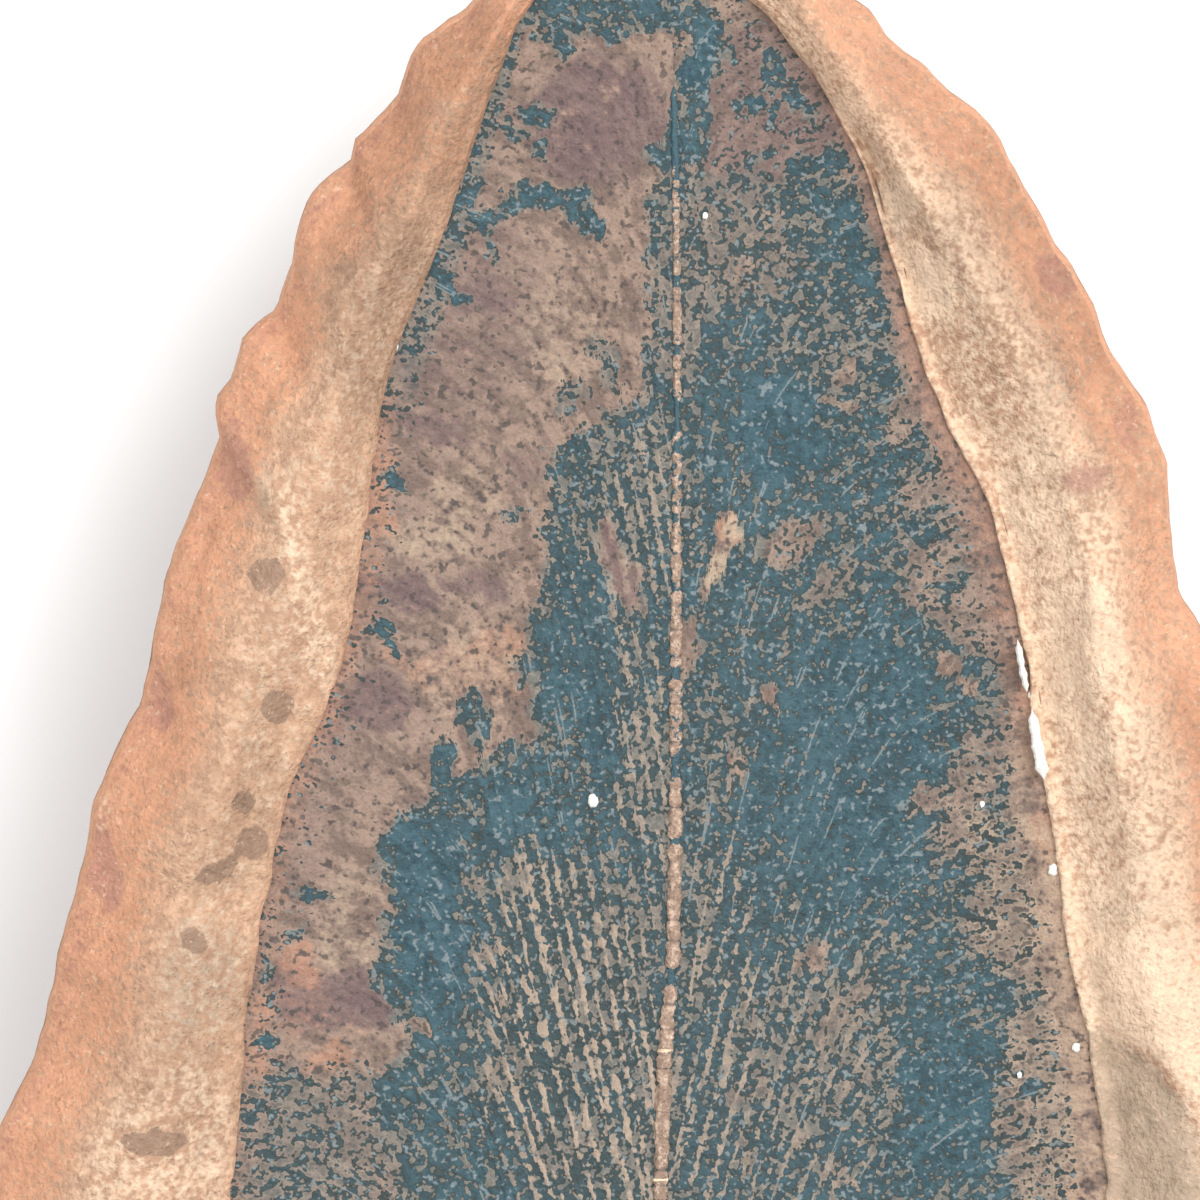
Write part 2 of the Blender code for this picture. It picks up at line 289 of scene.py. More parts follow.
FILM_PATCHES: Rows = (
    # the solid parts of the main film
    (4.5, 22.6, 1.5, 2.0, 1.0), (-1.6, 15.0, 1.0, 3.6, 0.97, 8), (-3.6, 9.8, 1.8, 1.4, 0.95),
    (-6.8, 6.6, 1.1, 3.6, 1.0, 5), (6.4, 11.2, 3.0, 5.2, 0.97, -15), (7.5, 10.4, 2.0, 3.2, 1.0, -15),
    (3.8, 7.4, 1.3, 2.2, 0.92), (9.9, 0.6, 1.6, 2.6, 0.97, -10), (-6.3, 1.5, 1.3, 1.8, 0.85),
    (7.6, 18.0, 0.9, 1.2, 0.85), (2.4, 13.5, 1.0, 3.0, 0.8), (-4.3, -1.0, 1.2, 1.2, 0.85),
    # mottled and worn parts of it
    (3.2, 28.4, 2.6, 2.2, 0.46), (1.2, 26.6, 0.9, 3.0, 0.5), (6.4, 25.4, 2.0, 1.6, 0.62), (-0.5, 20.6, 1.9, 2.4, 0.68),
    (0.3, 11.2, 0.9, 2.6, 0.66, 6), (1.9, 6.6, 0.7, 2.6, 0.6), (-0.2, 6.7, 1.2, 1.2, 0.55),
    (-1.3, 4.6, 1.5, 1.4, 0.6, 20), (-1.5, 2.7, 1.2, 0.7, 0.55, 20), (0.4, 1.8, 1.0, 0.9, 0.66),
    (-2.2, 1.4, 0.9, 0.4, 0.85, -15), (-4.3, 1.9, 0.6, 0.9, 0.5), (-2.1, -0.7, 1.6, 0.9, 0.55),
    (0.1, -1.2, 0.9, 1.4, 0.66), (5.6, 2.4, 2.6, 2.6, 0.62), (6.9, 4.1, 1.3, 0.5, 0.42, 42),
    (5.9, 2.9, 0.4, 0.9, 0.42, -20), (7.9, 3.2, 0.6, 0.4, 0.5), (7.0, 1.5, 0.9, 0.6, 0.5, 20),
    (5.1, -0.5, 0.6, 0.5, 0.45), (6.4, -1.6, 0.7, 0.5, 0.45), (3.4, 1.3, 0.8, 0.5, 0.45, 30),
    (3.5, -1.0, 0.4, 0.9, 0.45, -10), (3.7, 3.7, 0.3, 0.6, 0.4), (5.6, 5.4, 0.4, 0.4, 0.25),
    (-3.5, 8.0, 0.9, 0.5, 0.55), (-5.4, 7.9, 0.6, 0.5, 0.5), (-4.8, 5.8, 0.4, 0.5, 0.45), (-4.4, 3.8, 0.35, 0.5, 0.4),
    (-7.2, 3.0, 0.8, 0.3, 0.2, -20), (9.4, 10.5, 1.0, 0.5, 0.3, 10), (9.8, 14.9, 0.35, 0.7, 0.08, 30),
    (10.6, 14.0, 0.4, 0.4, 0.1),
    # bare windows in it
    (-0.6, 18.1, 0.5, 1.7, 0.0, 24), (2.9, 19.2, 0.6, 0.5, 0.0), (2.4, 17.9, 0.35, 0.8, 0.0, -15),
    (5.1, 18.9, 1.2, 0.6, 0.28, 22), (6.0, 17.3, 1.2, 0.5, 0.42, 30), (1.5, 15.4, 0.4, 1.1, 0.1),
    (3.0, 11.4, 0.4, 0.6, 0.25, -30), (6.7, 24.3, 0.4, 0.35, 0.25), (6.5, 23.3, 0.6, 0.3, 0.3),
    (8.5, 22.7, 0.5, 0.8, 0.35), (3.2, 27.6, 0.6, 0.5, 0.3), (4.3, 13.8, 0.3, 0.4, 0.1),
    # the part towards the foot
    (-5.4, -6.0, 2.2, 3.0, 0.9), (-3.0, -6.2, 0.9, 1.5, 0.3, 10), (3.2, -8.0, 0.9, 2.2, 0.35),
    (7.6, -7.5, 2.6, 3.4, 0.95), (7.2, -12.6, 1.0, 1.0, 0.2), (-5.6, -14.2, 1.1, 0.8, 0.15),
    (-2.6, -17.0, 1.8, 4.0, 0.6, 10), (4.6, -18.2, 2.4, 3.6, 0.88, -10), (0.5, -23.5, 2.4, 2.2, 0.4),
    (9.6, -17.4, 0.8, 1.2, 0.25), (-6.8, -19.4, 0.8, 1.0, 0.3), (4.4, -25.4, 1.6, 1.0, 0.6),
)
FILM_ISLANDS: Rows = (
    # across the tip
    (-0.8, 35.9, 3.0, 0.9, 0.86), (-2.9, 34.8, 0.5, 0.45, 0.9), (1.9, 34.2, 0.6, 1.6, 1.05, -8),
    (1.6, 32.3, 0.7, 1.2, 0.85, -20), (1.0, 31.3, 0.8, 0.6, 0.95), (2.6, 34.2, 0.25, 0.5, 0.75),
    (4.3, 33.9, 0.6, 0.35, 0.8, 40), (5.1, 33.0, 0.3, 0.9, 0.85), (3.5, 32.9, 0.28, 0.4, 0.95),
    (4.3, 32.8, 0.35, 0.3, 0.9), (3.6, 31.0, 0.3, 0.3, 0.8),
    # down the right margin
    (5.6, 30.8, 0.8, 0.7, 0.85, 30), (5.4, 29.2, 0.9, 0.7, 0.75, 20), (7.0, 28.4, 0.6, 1.6, 0.92, 12),
    (9.0, 19.2, 0.7, 0.5, 0.8, -30), (10.1, 17.4, 0.8, 0.3, 0.7, 10), (9.6, 19.8, 0.4, 0.3, 0.6),
    (11.5, 10.9, 0.35, 0.8, 0.62), (11.8, 9.6, 0.3, 0.3, 0.6), (12.6, 1.3, 0.5, 0.3, 0.9), (12.5, -0.3, 0.5, 0.3, 0.5),
    # the upper left
    (-2.9, 29.9, 1.4, 0.5, 0.95, -6), (-4.5, 29.4, 1.0, 0.4, 0.9, 20), (-1.8, 29.1, 0.8, 0.35, 0.9, -32),
    (-5.6, 30.4, 0.3, 1.1, 0.9, -14), (-5.9, 29.6, 0.5, 0.35, 0.9), (-6.6, 27.9, 0.28, 0.6, 0.9, 20),
    (-5.9, 27.0, 0.7, 0.25, 0.95, -35), (-4.8, 28.4, 0.2, 0.7, 0.7), (-3.0, 32.5, 0.6, 0.35, 0.95),
    (-4.0, 32.0, 0.4, 0.3, 0.8), (-4.5, 33.1, 0.2, 0.8, 0.55, -8), (-3.0, 31.4, 0.25, 0.35, 0.8),
    (-1.1, 24.6, 0.5, 1.0, 0.5, 12), (-2.2, 23.5, 0.5, 0.5, 0.45),
    # single specks down the left blade
    (-7.7, 20.6, 0.6, 0.3, 0.95, -20), (-4.0, 19.7, 0.5, 0.35, 0.72), (-8.3, 15.8, 0.7, 0.18, 0.9, -14),
    (-8.0, 15.5, 0.25, 0.5, 0.95, 12), (-7.4, 25.1, 0.35, 0.22, 0.9), (-10.6, 7.3, 0.6, 0.25, 0.95, -20),
    (-11.0, 6.3, 0.5, 0.2, 0.65, 10), (-11.9, 5.0, 0.2, 0.4, 0.9, -15), (-12.0, 2.7, 0.45, 0.25, 0.9, 20),
    (-5.4, 13.1, 0.25, 0.8, 0.8, 10), (-4.5, 12.1, 0.7, 0.35, 0.75, 30), (-6.4, 11.7, 0.5, 0.9, 0.95),
    (-11.4, 0.4, 1.3, 1.8, 0.5), (-10.6, -1.8, 2.0, 1.0, 0.52), (-10.8, -7.0, 1.2, 2.4, 0.45),
    (-9.4, -17.0, 1.0, 2.4, 0.4, 20), (12.6, -9.0, 1.0, 2.2, 0.4), (9.0, -24.0, 1.2, 1.4, 0.5, 30),
)
# Where the veins show as pale lines through the film.
VEIN_PATCHES: Rows = (
    (5.5, 9.0, 4.0, 6.0, 0.3), (4.6, 1.6, 3.4, 6.0, 0.45, -10), (-2.0, 2.4, 3.0, 6.4, 1.15, 10),
    (2.4, 3.0, 1.2, 6.0, 0.75, -6), (-1.6, 16.6, 1.2, 2.6, 0.5, 10), (0.3, 19.8, 1.5, 3.0, 0.6),
    (0.1, 12.0, 1.0, 4.4, 0.7, 5), (-3.4, -9.0, 3.6, 6.0, 0.9), (4.4, -10.0, 3.2, 6.0, 0.7),
    (0.5, -22.0, 6.0, 5.0, 0.9),
)
# mauve tints of the bare rock, some of them also painted shade
MAUVE_AND_SHADE_PATCHES: Rows = (
    (-5.4, 26.4, 2.4, 3.6, 0.42), (3.8, 32.6, 3.0, 3.2, 0.6), (-9.3, 4.2, 1.7, 1.1, 0.95, 10),
    (-8.3, 13.7, 1.3, 0.9, 0.8, -10), (-8.0, 17.3, 1.5, 0.45, 0.95, -14), (-1.4, 32.4, 2.2, 2.2, 0.95),
    (-5.2, 17.4, 1.3, 0.4, 0.7, -16), (-5.1, 26.7, 1.3, 0.6, 0.8, -20), (-6.6, 22.5, 1.4, 0.5, 0.7, -20),
    (-7.2, 24.3, 0.9, 0.5, 0.7), (-9.9, 13.0, 0.7, 0.9, 0.6), (-10.9, 4.4, 0.8, 1.1, 0.75),
    (-0.6, 18.1, 0.5, 1.7, 0.7, 24), (-6.2, 10.2, 1.6, 0.6, 0.4, -20), (-3.4, 21.4, 0.9, 0.8, 0.5),
    (-6.0, 15.0, 1.0, 0.5, 0.6, -16), (-9.6, -8.0, 1.6, 2.0, 0.7), (-8.0, -21.0, 1.4, 1.6, 0.7, 30),
)
RUST_PATCHES: Rows = (
    (-11.4, 3.4, 1.4, 4.6, 0.3, 8), (-9.4, 1.0, 2.0, 2.4, 0.15), (-12.1, 3.9, 0.45, 0.5, 0.8),
    (-8.4, 20.4, 0.5, 1.3, 0.85, 8), (-10.9, 5.4, 0.5, 0.8, 0.8), (-9.8, 2.2, 1.0, 0.4, 0.7, -10),
    (12.8, 13.8, 0.4, 0.7, 0.85, 8), (13.2, 9.3, 0.45, 0.9, 0.9, 8), (-5.4, 14.6, 1.9, 1.1, 0.42, -10),
    (-4.6, 15.6, 0.9, 0.7, 0.6), (-7.6, 14.9, 1.0, 0.35, 0.5, -16), (-12.2, 1.6, 0.35, 2.4, 0.7),
    (2.9, 19.2, 0.5, 0.45, 0.6), (-11.5, 10.0, 0.5, 2.0, 0.5, -20), (13.9, -4.0, 0.5, 3.0, 0.6),
    (-9.0, 17.6, 0.5, 1.0, 0.6),
)
CREAM_PATCHES: Rows = (
    (3.1, 19.3, 0.5, 0.4, 1.0, 30), (2.45, 17.9, 0.3, 0.7, 1.0, -20), (-6.7, 18.9, 1.5, 0.8, 0.45),
    (-9.3, 6.6, 1.3, 2.0, 0.3), (-2.6, 25.6, 1.4, 1.8, 0.3), (-9.4, 5.6, 1.0, 0.5, 0.45), (-5.6, 20.4, 1.2, 0.8, 0.35),
    (-5.4, 14.6, 1.7, 1.7, 0.34), (10.9, 9.9, 0.4, 0.4, 0.6),
)
STAIN_PATCHES: Rows = (
    (-12.0, 17.7, 0.62, 0.55, 0.8), (-11.6, 13.6, 0.56, 0.56, 0.85), (-12.6, 10.4, 0.45, 0.36, 0.95),
    (-12.4, 9.1, 0.6, 0.6, 0.85), (-13.5, 8.3, 0.8, 0.4, 0.75, 25), (-14.2, 6.1, 0.45, 0.48, 0.85),
    (-15.5, -0.3, 1.05, 0.4, 1.2, 2), (-13.8, 2.2, 0.5, 0.8, 0.35), (-9.4, 22.1, 0.7, 0.45, 0.35, -20),
    (-14.9, 13.0, 0.4, 0.3, 0.35), (-13.4, 20.0, 0.5, 0.4, 0.35), (16.0, -12.0, 0.9, 0.6, 0.7, 20),
    (-16.8, -18.0, 0.8, 0.7, 0.7), (6.0, -34.0, 1.2, 0.6, 0.6, 10), (-8.0, -33.0, 0.7, 0.7, 0.6),
)
GREY_PATCHES: Rows = (
    (8.0, 29.3, 0.5, 1.1, 0.9, 20), (14.7, 12.0, 0.5, 0.4, 0.8), (15.2, 6.9, 0.9, 0.35, 1.0, 10),
    (13.4, 24.0, 0.5, 0.8, 0.6, 20), (-12.4, 20.6, 0.8, 1.4, 0.55), (-14.0, 5.0, 1.4, 2.0, 0.5),
    (10.0, 25.6, 0.7, 1.6, 0.4, 25),
)
PALE_PATCHES: Rows = (
    (15.8, 16.4, 2.4, 2.6, 0.42), (14.2, 15.8, 1.3, 2.2, 0.76, 10), (14.2, 9.4, 1.2, 1.6, 0.62),
    (12.7, 19.4, 1.1, 2.8, 0.66, 12), (16.6, 4.3, 2.2, 1.7, 0.95), (16.2, 6.2, 2.0, 0.13, 1.1, 3),
    (8.4, 29.6, 0.5, 0.9, 0.8, 25), (9.2, 27.0, 0.9, 1.4, 0.75, 30), (-17.3, 10.5, 0.5, 0.9, 1.1),
    (-10.6, 17.0, 0.5, 4.0, 0.45, 12), (-15.0, -1.0, 3.0, 3.0, 0.4), (16.4, 10.6, 1.6, 1.6, 0.6),
)
# painted shade: darker patches on the rim where it faces away from the light
PAINTED_SHADE_PATCHES: Rows = (
    (-6.7, 33.3, 3.0, 4.0, 0.24), (-8.3, 26.6, 1.8, 4.2, 0.24), (-14.6, 14.6, 1.3, 0.6, 0.12, 12),
    (-14.4, 2.6, 3.0, 3.4, 0.1), (-13.0, 10.4, 2.2, 3.0, 0.08), (13.0, 27.4, 3.0, 6.0, 0.22, 30),
    (15.2, 21.6, 2.2, 2.6, 0.12), (17.2, 10.2, 1.8, 4.6, 0.12), (9.0, 33.4, 1.6, 2.4, 0.14),
    (15.9, -1.2, 1.5, 2.6, 0.09, 10),
)
PURPLE_PATCHES: Rows = (
    (14.2, 20.8, 0.9, 0.6, 0.8), (13.4, 27.4, 0.7, 1.0, 0.8, 35), (-13.0, 21.4, 0.6, 1.4, 0.8),
    (-15.6, 14.0, 0.6, 1.3, 0.8, 15), (-17.2, 8.6, 0.6, 1.8, 0.9, 12), (15.6, 22.6, 0.5, 1.2, 0.6, 20),
    (-10.9, 27.5, 0.5, 1.0, 0.5, 10), (12.8, 18.4, 0.7, 0.5, 0.4), (19.0, -4.0, 1.0, 2.0, 0.6),
    (-20.4, -8.0, 0.8, 3.0, 0.7),
)


# ---------------------------------------------------------------------------------------------------------
# The face as a drawing: its curves, its veins and its heights.


@dataclass(frozen=True)
class LeafPlan:
    """The leaflet's margins, veins and relief."""

    primaries: int = 20  # side veins that leave the midrib on each side
    arrival_lift: float = 0.09
    start_pull: float = 0.8
    arrival_pull: float = 0.26
    forks: Rows = (  # how far the two branches part, and the strip's widths where they start to and have done so
        (1 / 4, 0.4, 0.7), (1 / 8, 0.85, 1.4), (1 / 16, 1.7, 2.8), (1 / 32, 3.4, 5.6),
    )
    vein_relief: float = 0.03
    vein_half_width: float = 0.13
    vein_crest: float = 0.02
    fork_shift: tuple[float, float] = (0.16, 0.13)  # how much earlier or later each vein and each half of it forks
    fork_turns: tuple[float, float] = (12.9, 7.7)  # what makes these differ from vein to vein
    overlap: float = 0.3  # how far the blades run in under the rim
    ridge_margin: float = 0.5
    ridge_share: float = 0.5  # how much of a blade's width rises towards the midrib
    ridge_rise: float = 0.5  # how much of the dish's depth it rises
    dish_power: int = 4
    # the share of the midrib where a vein leaves, for the share of the margin where it ends
    vein_starts: Points = (
        (0.0, 0.0), (0.2, 0.008), (0.35, 0.02), (0.475, 0.06), (0.61, 0.25), (0.7, 0.33), (0.775, 0.435),
        (0.885, 0.742), (1.0, 1.0),
    )
    # the angle between a vein and the midrib where it leaves, in degrees, for the same shares of the margin
    leaving_angles: Points = (
        (0.0, 122.0), (0.16, 90.0), (0.32, 48.0), (0.475, 20.0), (0.61, 19.5), (0.7, 18.0), (0.775, 9.5), (0.885, 9.3),
        (1.0, 13.0),
    )

    @cached_property
    def margins(self) -> dict[Side, Path]:
        """The margins of the two blades, from foot to tip."""
        return {
            Side.LEFT: Path((LEAF_FOOT, *LEFT_MARGIN, LEAF_TIP)),
            Side.RIGHT: Path((LEAF_FOOT, *RIGHT_MARGIN, LEAF_TIP)),
        }

    @cached_property
    def midrib(self) -> Path:
        """The midrib, from foot to tip."""
        return Path(MIDRIB)

    @cached_property
    def loop(self) -> Path:
        """The whole margin."""
        return Path((LEAF_TIP, *LEFT_MARGIN[::-1], LEAF_FOOT, *RIGHT_MARGIN), closed=True)

    def lay(self, side: Side, u: Array, t: Array) -> Array:
        """Lay veins on a blade.

        Args:
            side: which blade.
            u: a vein's place, 0 at the foot and 1 at the tip.
            t: the way along it, 0 on the midrib and 1 on the margin.

        Returns:
            The points' x and y, with one row for each u and t.
        """
        margin = self.margins[side]
        end = margin.at(u)
        run = margin.at(u + 0.01) - margin.at(u - 0.01)
        outward = np.stack([run[:, 1], -run[:, 0]], axis=-1) * side.value
        outward /= np.maximum(np.linalg.norm(outward, axis=1, keepdims=True), 1e-6)
        end = end + outward * self.overlap
        start = self.midrib.at(np.interp(u, *Path(self.vein_starts).run.T))
        lean = np.radians(np.interp(u, *Path(self.leaving_angles).run.T))
        leaving = np.stack([side.value * np.sin(lean), np.cos(lean)], axis=-1)
        arriving = outward + (0, self.arrival_lift)
        arriving /= np.linalg.norm(arriving, axis=1, keepdims=True)
        reach = np.linalg.norm(end - start, axis=1, keepdims=True)
        first = start + leaving * reach * self.start_pull
        second = end - arriving * reach * self.arrival_pull
        t = t[:, None]
        return (1 - t) ** 3 * start + 3 * (1 - t) ** 2 * t * first + 3 * (1 - t) * t**2 * second + t**3 * end

    def vein_gap(self, vein: Array, strip: Array) -> Array:
        """Measure how far a point lies from the nearest vein. Veins fork wherever there is room.

        Args:
            vein: the place across the primary veins, which lie at 0.5, 1.5 and so on.
            strip: the width of one primary vein's strip, in mm.

        Returns:
            The gap in mm.
        """
        cell = np.floor(vein)
        local = vein - cell - 0.5
        by_vein, by_half = (shift * np.sin(turn * cell) for shift, turn in zip(self.fork_shift, self.fork_turns))
        early = 1 + by_vein + np.sign(local) * by_half
        gap = np.abs(local)
        for spread, low, high in self.forks:
            gap = np.abs(gap - spread * ramp(strip * early, low, high))
        return gap * strip

    def height(self, x: Array, y: Array) -> Array:
        """Find the blade's level: two hollows with the midrib's ridge between them.

        Args:
            x, y: the points, in mm.

        Returns:
            Heights above the table, in mm.
        """
        q = np.clip(np.hypot(x, y) / self.loop.radius(np.arctan2(y, x)), 0, 1)
        middle = self.midrib.run
        middle_x = np.interp(y, middle[:, 1], middle[:, 0])
        right, left = (self.margins[side].x_at(y) for side in (Side.RIGHT, Side.LEFT))
        half_width = np.abs(np.where(x > middle_x, right, left) - middle_x) + self.ridge_margin
        across = np.clip(np.abs(x - middle_x) / half_width / self.ridge_share, 0, 1)
        cross = 1 - self.ridge_rise * np.cos(math.pi / 2 * across) ** 2
        return LEAF_MARGIN_Z - DISH_DEPTH * cross * (1 - q**self.dish_power)


@dataclass(frozen=True)
class StonePlan:
    """The nodule half's rim, edge and back."""

    crest_rise: float = 1.3
    crest_share: float = 0.42
    edge_drop: float = 2.2
    drop_end: float = 1.12  # as a share of the rim, so the face still falls where it breaks off
    full_rim: float = 6.0
    chip_depth: float = 0.8
    chip_span: float = 9.0  # degrees to each side
    chip_start: float = 0.6
    rim_lumps: Noise = Noise(0.3, 4.5, 0.0)
    rim_lumps_start: float = 0.2
    rim_grit: Noises = (Noise(0.1, 1.7, 4.0, 3), Noise(0.07, 0.55, 9.0, 3))
    lip: float = 0.06  # the share of the rim that is worn round beside the leaf
    shelf_drop: float = 0.5
    shelf_start: float = 0.08
    shelf_ripple: Noises = (Noise(0.03, 1.3, 2.2), Noise(0.02, 0.45, 5.1))
    shelf_none: float = 0.02  # where the shelf is narrower, there is none
    shelf_full: float = 0.1
    scarp_width: float = 0.11
    girth_bulge: float = 0.35
    girth_drop: float = 1.5
    flat_share: float = 0.34
    back_power: float = 2.2
    back_lumps: Noise = Noise(0.8, 9.0, 0.4)
    back_lumps_shift: tuple[float, float] = (11.7, 45.9)
    back_grit: Noises = (Noise(0.16, 2.6, 3.0, 3), Noise(0.05, 0.7, 6.0, 3))
    back_grit_start: float = 0.6
    rind_step: float = 0.45
    rind_patches: Noise = Noise(1.0, 13.0, 0.0)
    rind_scarp: float = 0.03
    bed_depth: float = 2.0  # hidden under the leaf
    worn_lip: float = 0.28
    shelf_end: Points = (
        (-16.0, 0.0), (-12.0, 0.2), (-8.0, 0.44), (-2.0, 0.52), (1.0, 0.44), (3.4, 0.12), (5.6, 0.1), (6.4, 0.3),
        (13.0, 0.36), (20.0, 0.42), (27.0, 0.44), (31.0, 0.25), (33.0, 0.0),
    )
    spalls: Rows = (  # flat scars on the back: their direction in x and y, their distance and their slope
        (0.8, -0.6, 13.0, 0.45), (-0.95, 0.3, 9.5, 0.62), (0.5, 0.87, 17.5, 0.4),
    )

    @cached_property
    def edge(self) -> Path:
        """The broken edge, with straight pieces between its points."""
        return Path(STONE_OUTLINE, closed=True, steps=1)

    def even_angles(self, count: int) -> Array:
        """Space directions evenly along the outline, not by angle.

        Args:
            count: how many directions.

        Returns:
            The directions, in radians, the first one pointing along +X.
        """
        outline = np.vstack([self.edge.run, self.edge.run[0]])
        bearing = np.unwrap(np.arctan2(outline[:, 1], outline[:, 0]))
        walked = np.concatenate([[0], np.cumsum(np.linalg.norm(np.diff(outline, axis=0), axis=1))])
        fine = np.linspace(bearing[0], bearing[0] + 2 * math.pi, 4 * count)
        length = np.interp(fine, bearing, walked)
        return np.interp(np.linspace(0, walked[-1], count, endpoint=False), length, fine)

    def whole_radius(self, angle: Array) -> Array:
        """Find where the edge was before it chipped, as a running mean over some directions."""
        turns = np.radians(np.linspace(-self.chip_span, self.chip_span, 7))
        return np.mean([self.edge.radius(angle + turn) for turn in turns], axis=0)

    def shelf(self, x: Array, y: Array, share: Array) -> Array:
        """Tell where the fresh shelf beside the leaf's right margin lies.

        Args:
            x, y: the points, in mm.
            share: their place on the rim, 0 at the leaf and 1 at the edge.

        Returns:
            1 on the shelf, 0 off it, and between them in its worn scarp.
        """
        end = np.interp(y, *zip(*self.shelf_end))
        ragged = end + layers(self.shelf_ripple, x, y) * (end > self.shelf_none)
        inside = 1 - ramp((share - ragged) / self.scarp_width, -1, 1)
        return np.where(x > 0, inside * np.clip(end / self.shelf_full, 0, 1), 0)

    def rim_height(self, share: Array, angle: Array, inner: Array, outer: Array) -> Array:
        """Find the split face's level between the leaf and the broken edge.

        Args:
            share: 0 at the leaf and 1 at the edge.
            angle: directions, in radians.
            inner, outer: the rim's two radii in those directions.

        Returns:
            Heights above the table, in mm.
        """
        radius = inner + (outer - inner) * share
        x, y = radius * np.cos(angle), radius * np.sin(angle)
        width = np.minimum((outer - inner) / self.full_rim, 1)
        up = self.crest_rise * width * ramp(share, 0, self.crest_share)
        up = up - self.edge_drop * (1 + width) / 2 * ramp(share, self.crest_share, self.drop_end)
        up = up - self.chip_depth * np.maximum(self.whole_radius(angle) - outer, 0) * ramp(share, self.chip_start, 1)
        up = up - self.shelf_drop * self.shelf(x, y, share) * ramp(share, 0, self.shelf_start)
        up = up + self.rim_lumps.at(x, y) * ramp(share, 0, self.rim_lumps_start)
        up = up + layers(self.rim_grit, x, y) * ramp(share, 0, self.lip)
        return LEAF_MARGIN_Z + RIM_STEP + up - self.worn_lip * (1 - ramp(share, -0.01, self.lip))

    def back_height(self, share: Array, x: Array, y: Array, girth: Array) -> Array:
        """Find the rounded back's level.

        Args:
            share: 1 at the girth and 0 in the middle of the flat patch.
            x, y: the points, in mm.
            girth: the level at the girth in each point's direction.

        Returns:
            Heights above the table, in mm.
        """
        lens = 1 - np.sqrt(np.maximum(1 - share**self.back_power, 0))
        flat = 1 - math.sqrt(1 - self.flat_share**self.back_power)
        height = girth * np.maximum(lens - flat, 0) / (1 - flat)
        for along_x, along_y, start, slope in self.spalls:
            height = np.maximum(height, slope * (x * along_x + y * along_y - start))
        height = np.minimum(height, girth)
        shift_x, shift_y = self.back_lumps_shift
        rough = self.back_lumps.at(x + shift_x, y + shift_y, height) + layers(self.back_grit, x, y, height)
        rough = rough + self.rind_step * ramp(self.rind_patches.at(x, y, height), -self.rind_scarp, self.rind_scarp)
        return np.maximum(height + rough * ramp(share, self.flat_share, self.back_grit_start), 0)


LEAF = LeafPlan()
STONE = StonePlan()


# ---------------------------------------------------------------------------------------------------------
# Finishes and the nodes that draw them.

LIGHT_LEVEL = 1.25  # how much brighter than its own colour the studio shows a level face


def seen(red: int, green: int, blue: int) -> Colour:
    """Turn a colour as it should look on screen into the shader's linear values.

    Args:
        red, green, blue: from 0 to 255, as the lit face shows them.

    Returns:
        The linear colour of the surface itself.
    """
    shares = (c / 255 for c in (red, green, blue))
    return tuple((c / 12.92 if c <= 0.04045 else ((c + 0.055) / 1.055) ** 2.4) / LIGHT_LEVEL for c in shares)


@dataclass(frozen=True)
class Surface:
    """A finish's grain and gloss."""

    grain_size: float  # mm
    pits: float  # how many, from 0 to 1
    bump: float  # the grain's height, in mm
    depth: float  # how much the grain darkens and lightens the colour
    roughness: tuple[float, float]
    specular: float = 0.5


@dataclass(frozen=True)
class Tint:
    """A colour that is laid on where the mesh's mask of that name says so."""

    mask: str
    colour: Colour
    low: float  # the mask's value where the tint starts
    high: float
    most: float  # how much of it there is at high


@dataclass(frozen=True)
class StoneFinish:
    """Weathered ironstone: pale tan inside, rust towards the edge, and a brown rind round the back."""

    surface: Surface = Surface(0.4, 0.4, 0.11, 0.75, (0.8, 0.95), 0.25)
    tan: Colour = seen(207, 168, 139)
    # a darker tan for the random mottle, also painted shade in the grain's pits
    shadow: Colour = seen(193, 154, 127)
    cream: Colour = seen(238, 208, 179)
    rind: Colour = seen(158, 112, 84)
    rind_dark: Colour = seen(112, 84, 68)
    tints: tuple[Tint, ...] = (
        Tint("grey", seen(188, 166, 144), 0.25, 0.75, 0.9),
        Tint("pale", seen(238, 208, 179), 0.2, 0.85, 0.95),
        # the rust tint also paints a lit edge along the left rim's lip
        Tint("rust_and_lit_edge", seen(212, 154, 121), 0.2, 0.8, 0.9),
        Tint("purple", seen(178, 130, 116), 0.3, 0.9, 0.7),
    )
    stain: Tint = Tint("stain", seen(154, 126, 107), 0.35, 0.6, 0.85)
    clouds: Rows = ((0.5, 4.0, 0.6), (1.6, 3.0, 0.6), (4.2, 1.0, 0.6))  # broad, middle and fine
    fleck_size: float = 0.24
    flecks: float = 0.55
    painted_shade: float = -1.33  # how much the painted shade mask darkens


@dataclass(frozen=True)
class LeafFinish:
    """The bare impression of the leaf and the carbon film on it."""

    surface: Surface = Surface(0.24, 0.3, 0.06, 0.7, (0.85, 0.6), 0.25)  # rough where bare, smoother on the film
    film_depth: float = 0.8
    tan: Colour = seen(157, 134, 120)
    brown: Colour = seen(126, 107, 98)
    dark: Colour = seen(84, 78, 76)
    vein: Colour = seen(178, 158, 140)
    haze: Colour = seen(126, 130, 124)
    film: Colour = seen(67, 97, 107)
    film_deep: Colour = seen(50, 80, 91)
    film_dull: Colour = seen(57, 79, 85)
    film_edge: Colour = seen(64, 67, 62)
    film_pale: Colour = seen(140, 148, 149)
    tints: tuple[Tint, ...] = (
        # the mauve tint also paints shade in a band along the right margin
        Tint("mauve_and_shade", seen(112, 92, 94), 0.1, 0.9, 0.75),
        # the rust tint also paints a lit edge along the left margin
        Tint("rust_and_lit_edge", seen(184, 138, 114), 0.1, 0.9, 0.7),
        Tint("cream", seen(192, 171, 147), 0.1, 0.9, 0.7),
    )
    clouds: Rows = ((1.3, 3.0, 0.6), (4.4, 1.0, 0.6))  # middle and fine
    dash: tuple[float, float] = (0.3, 0.6)  # width and length of short streaks along the veins, in mm
    sweep: tuple[float, float] = (0.4, 2.0)  # and of long ones


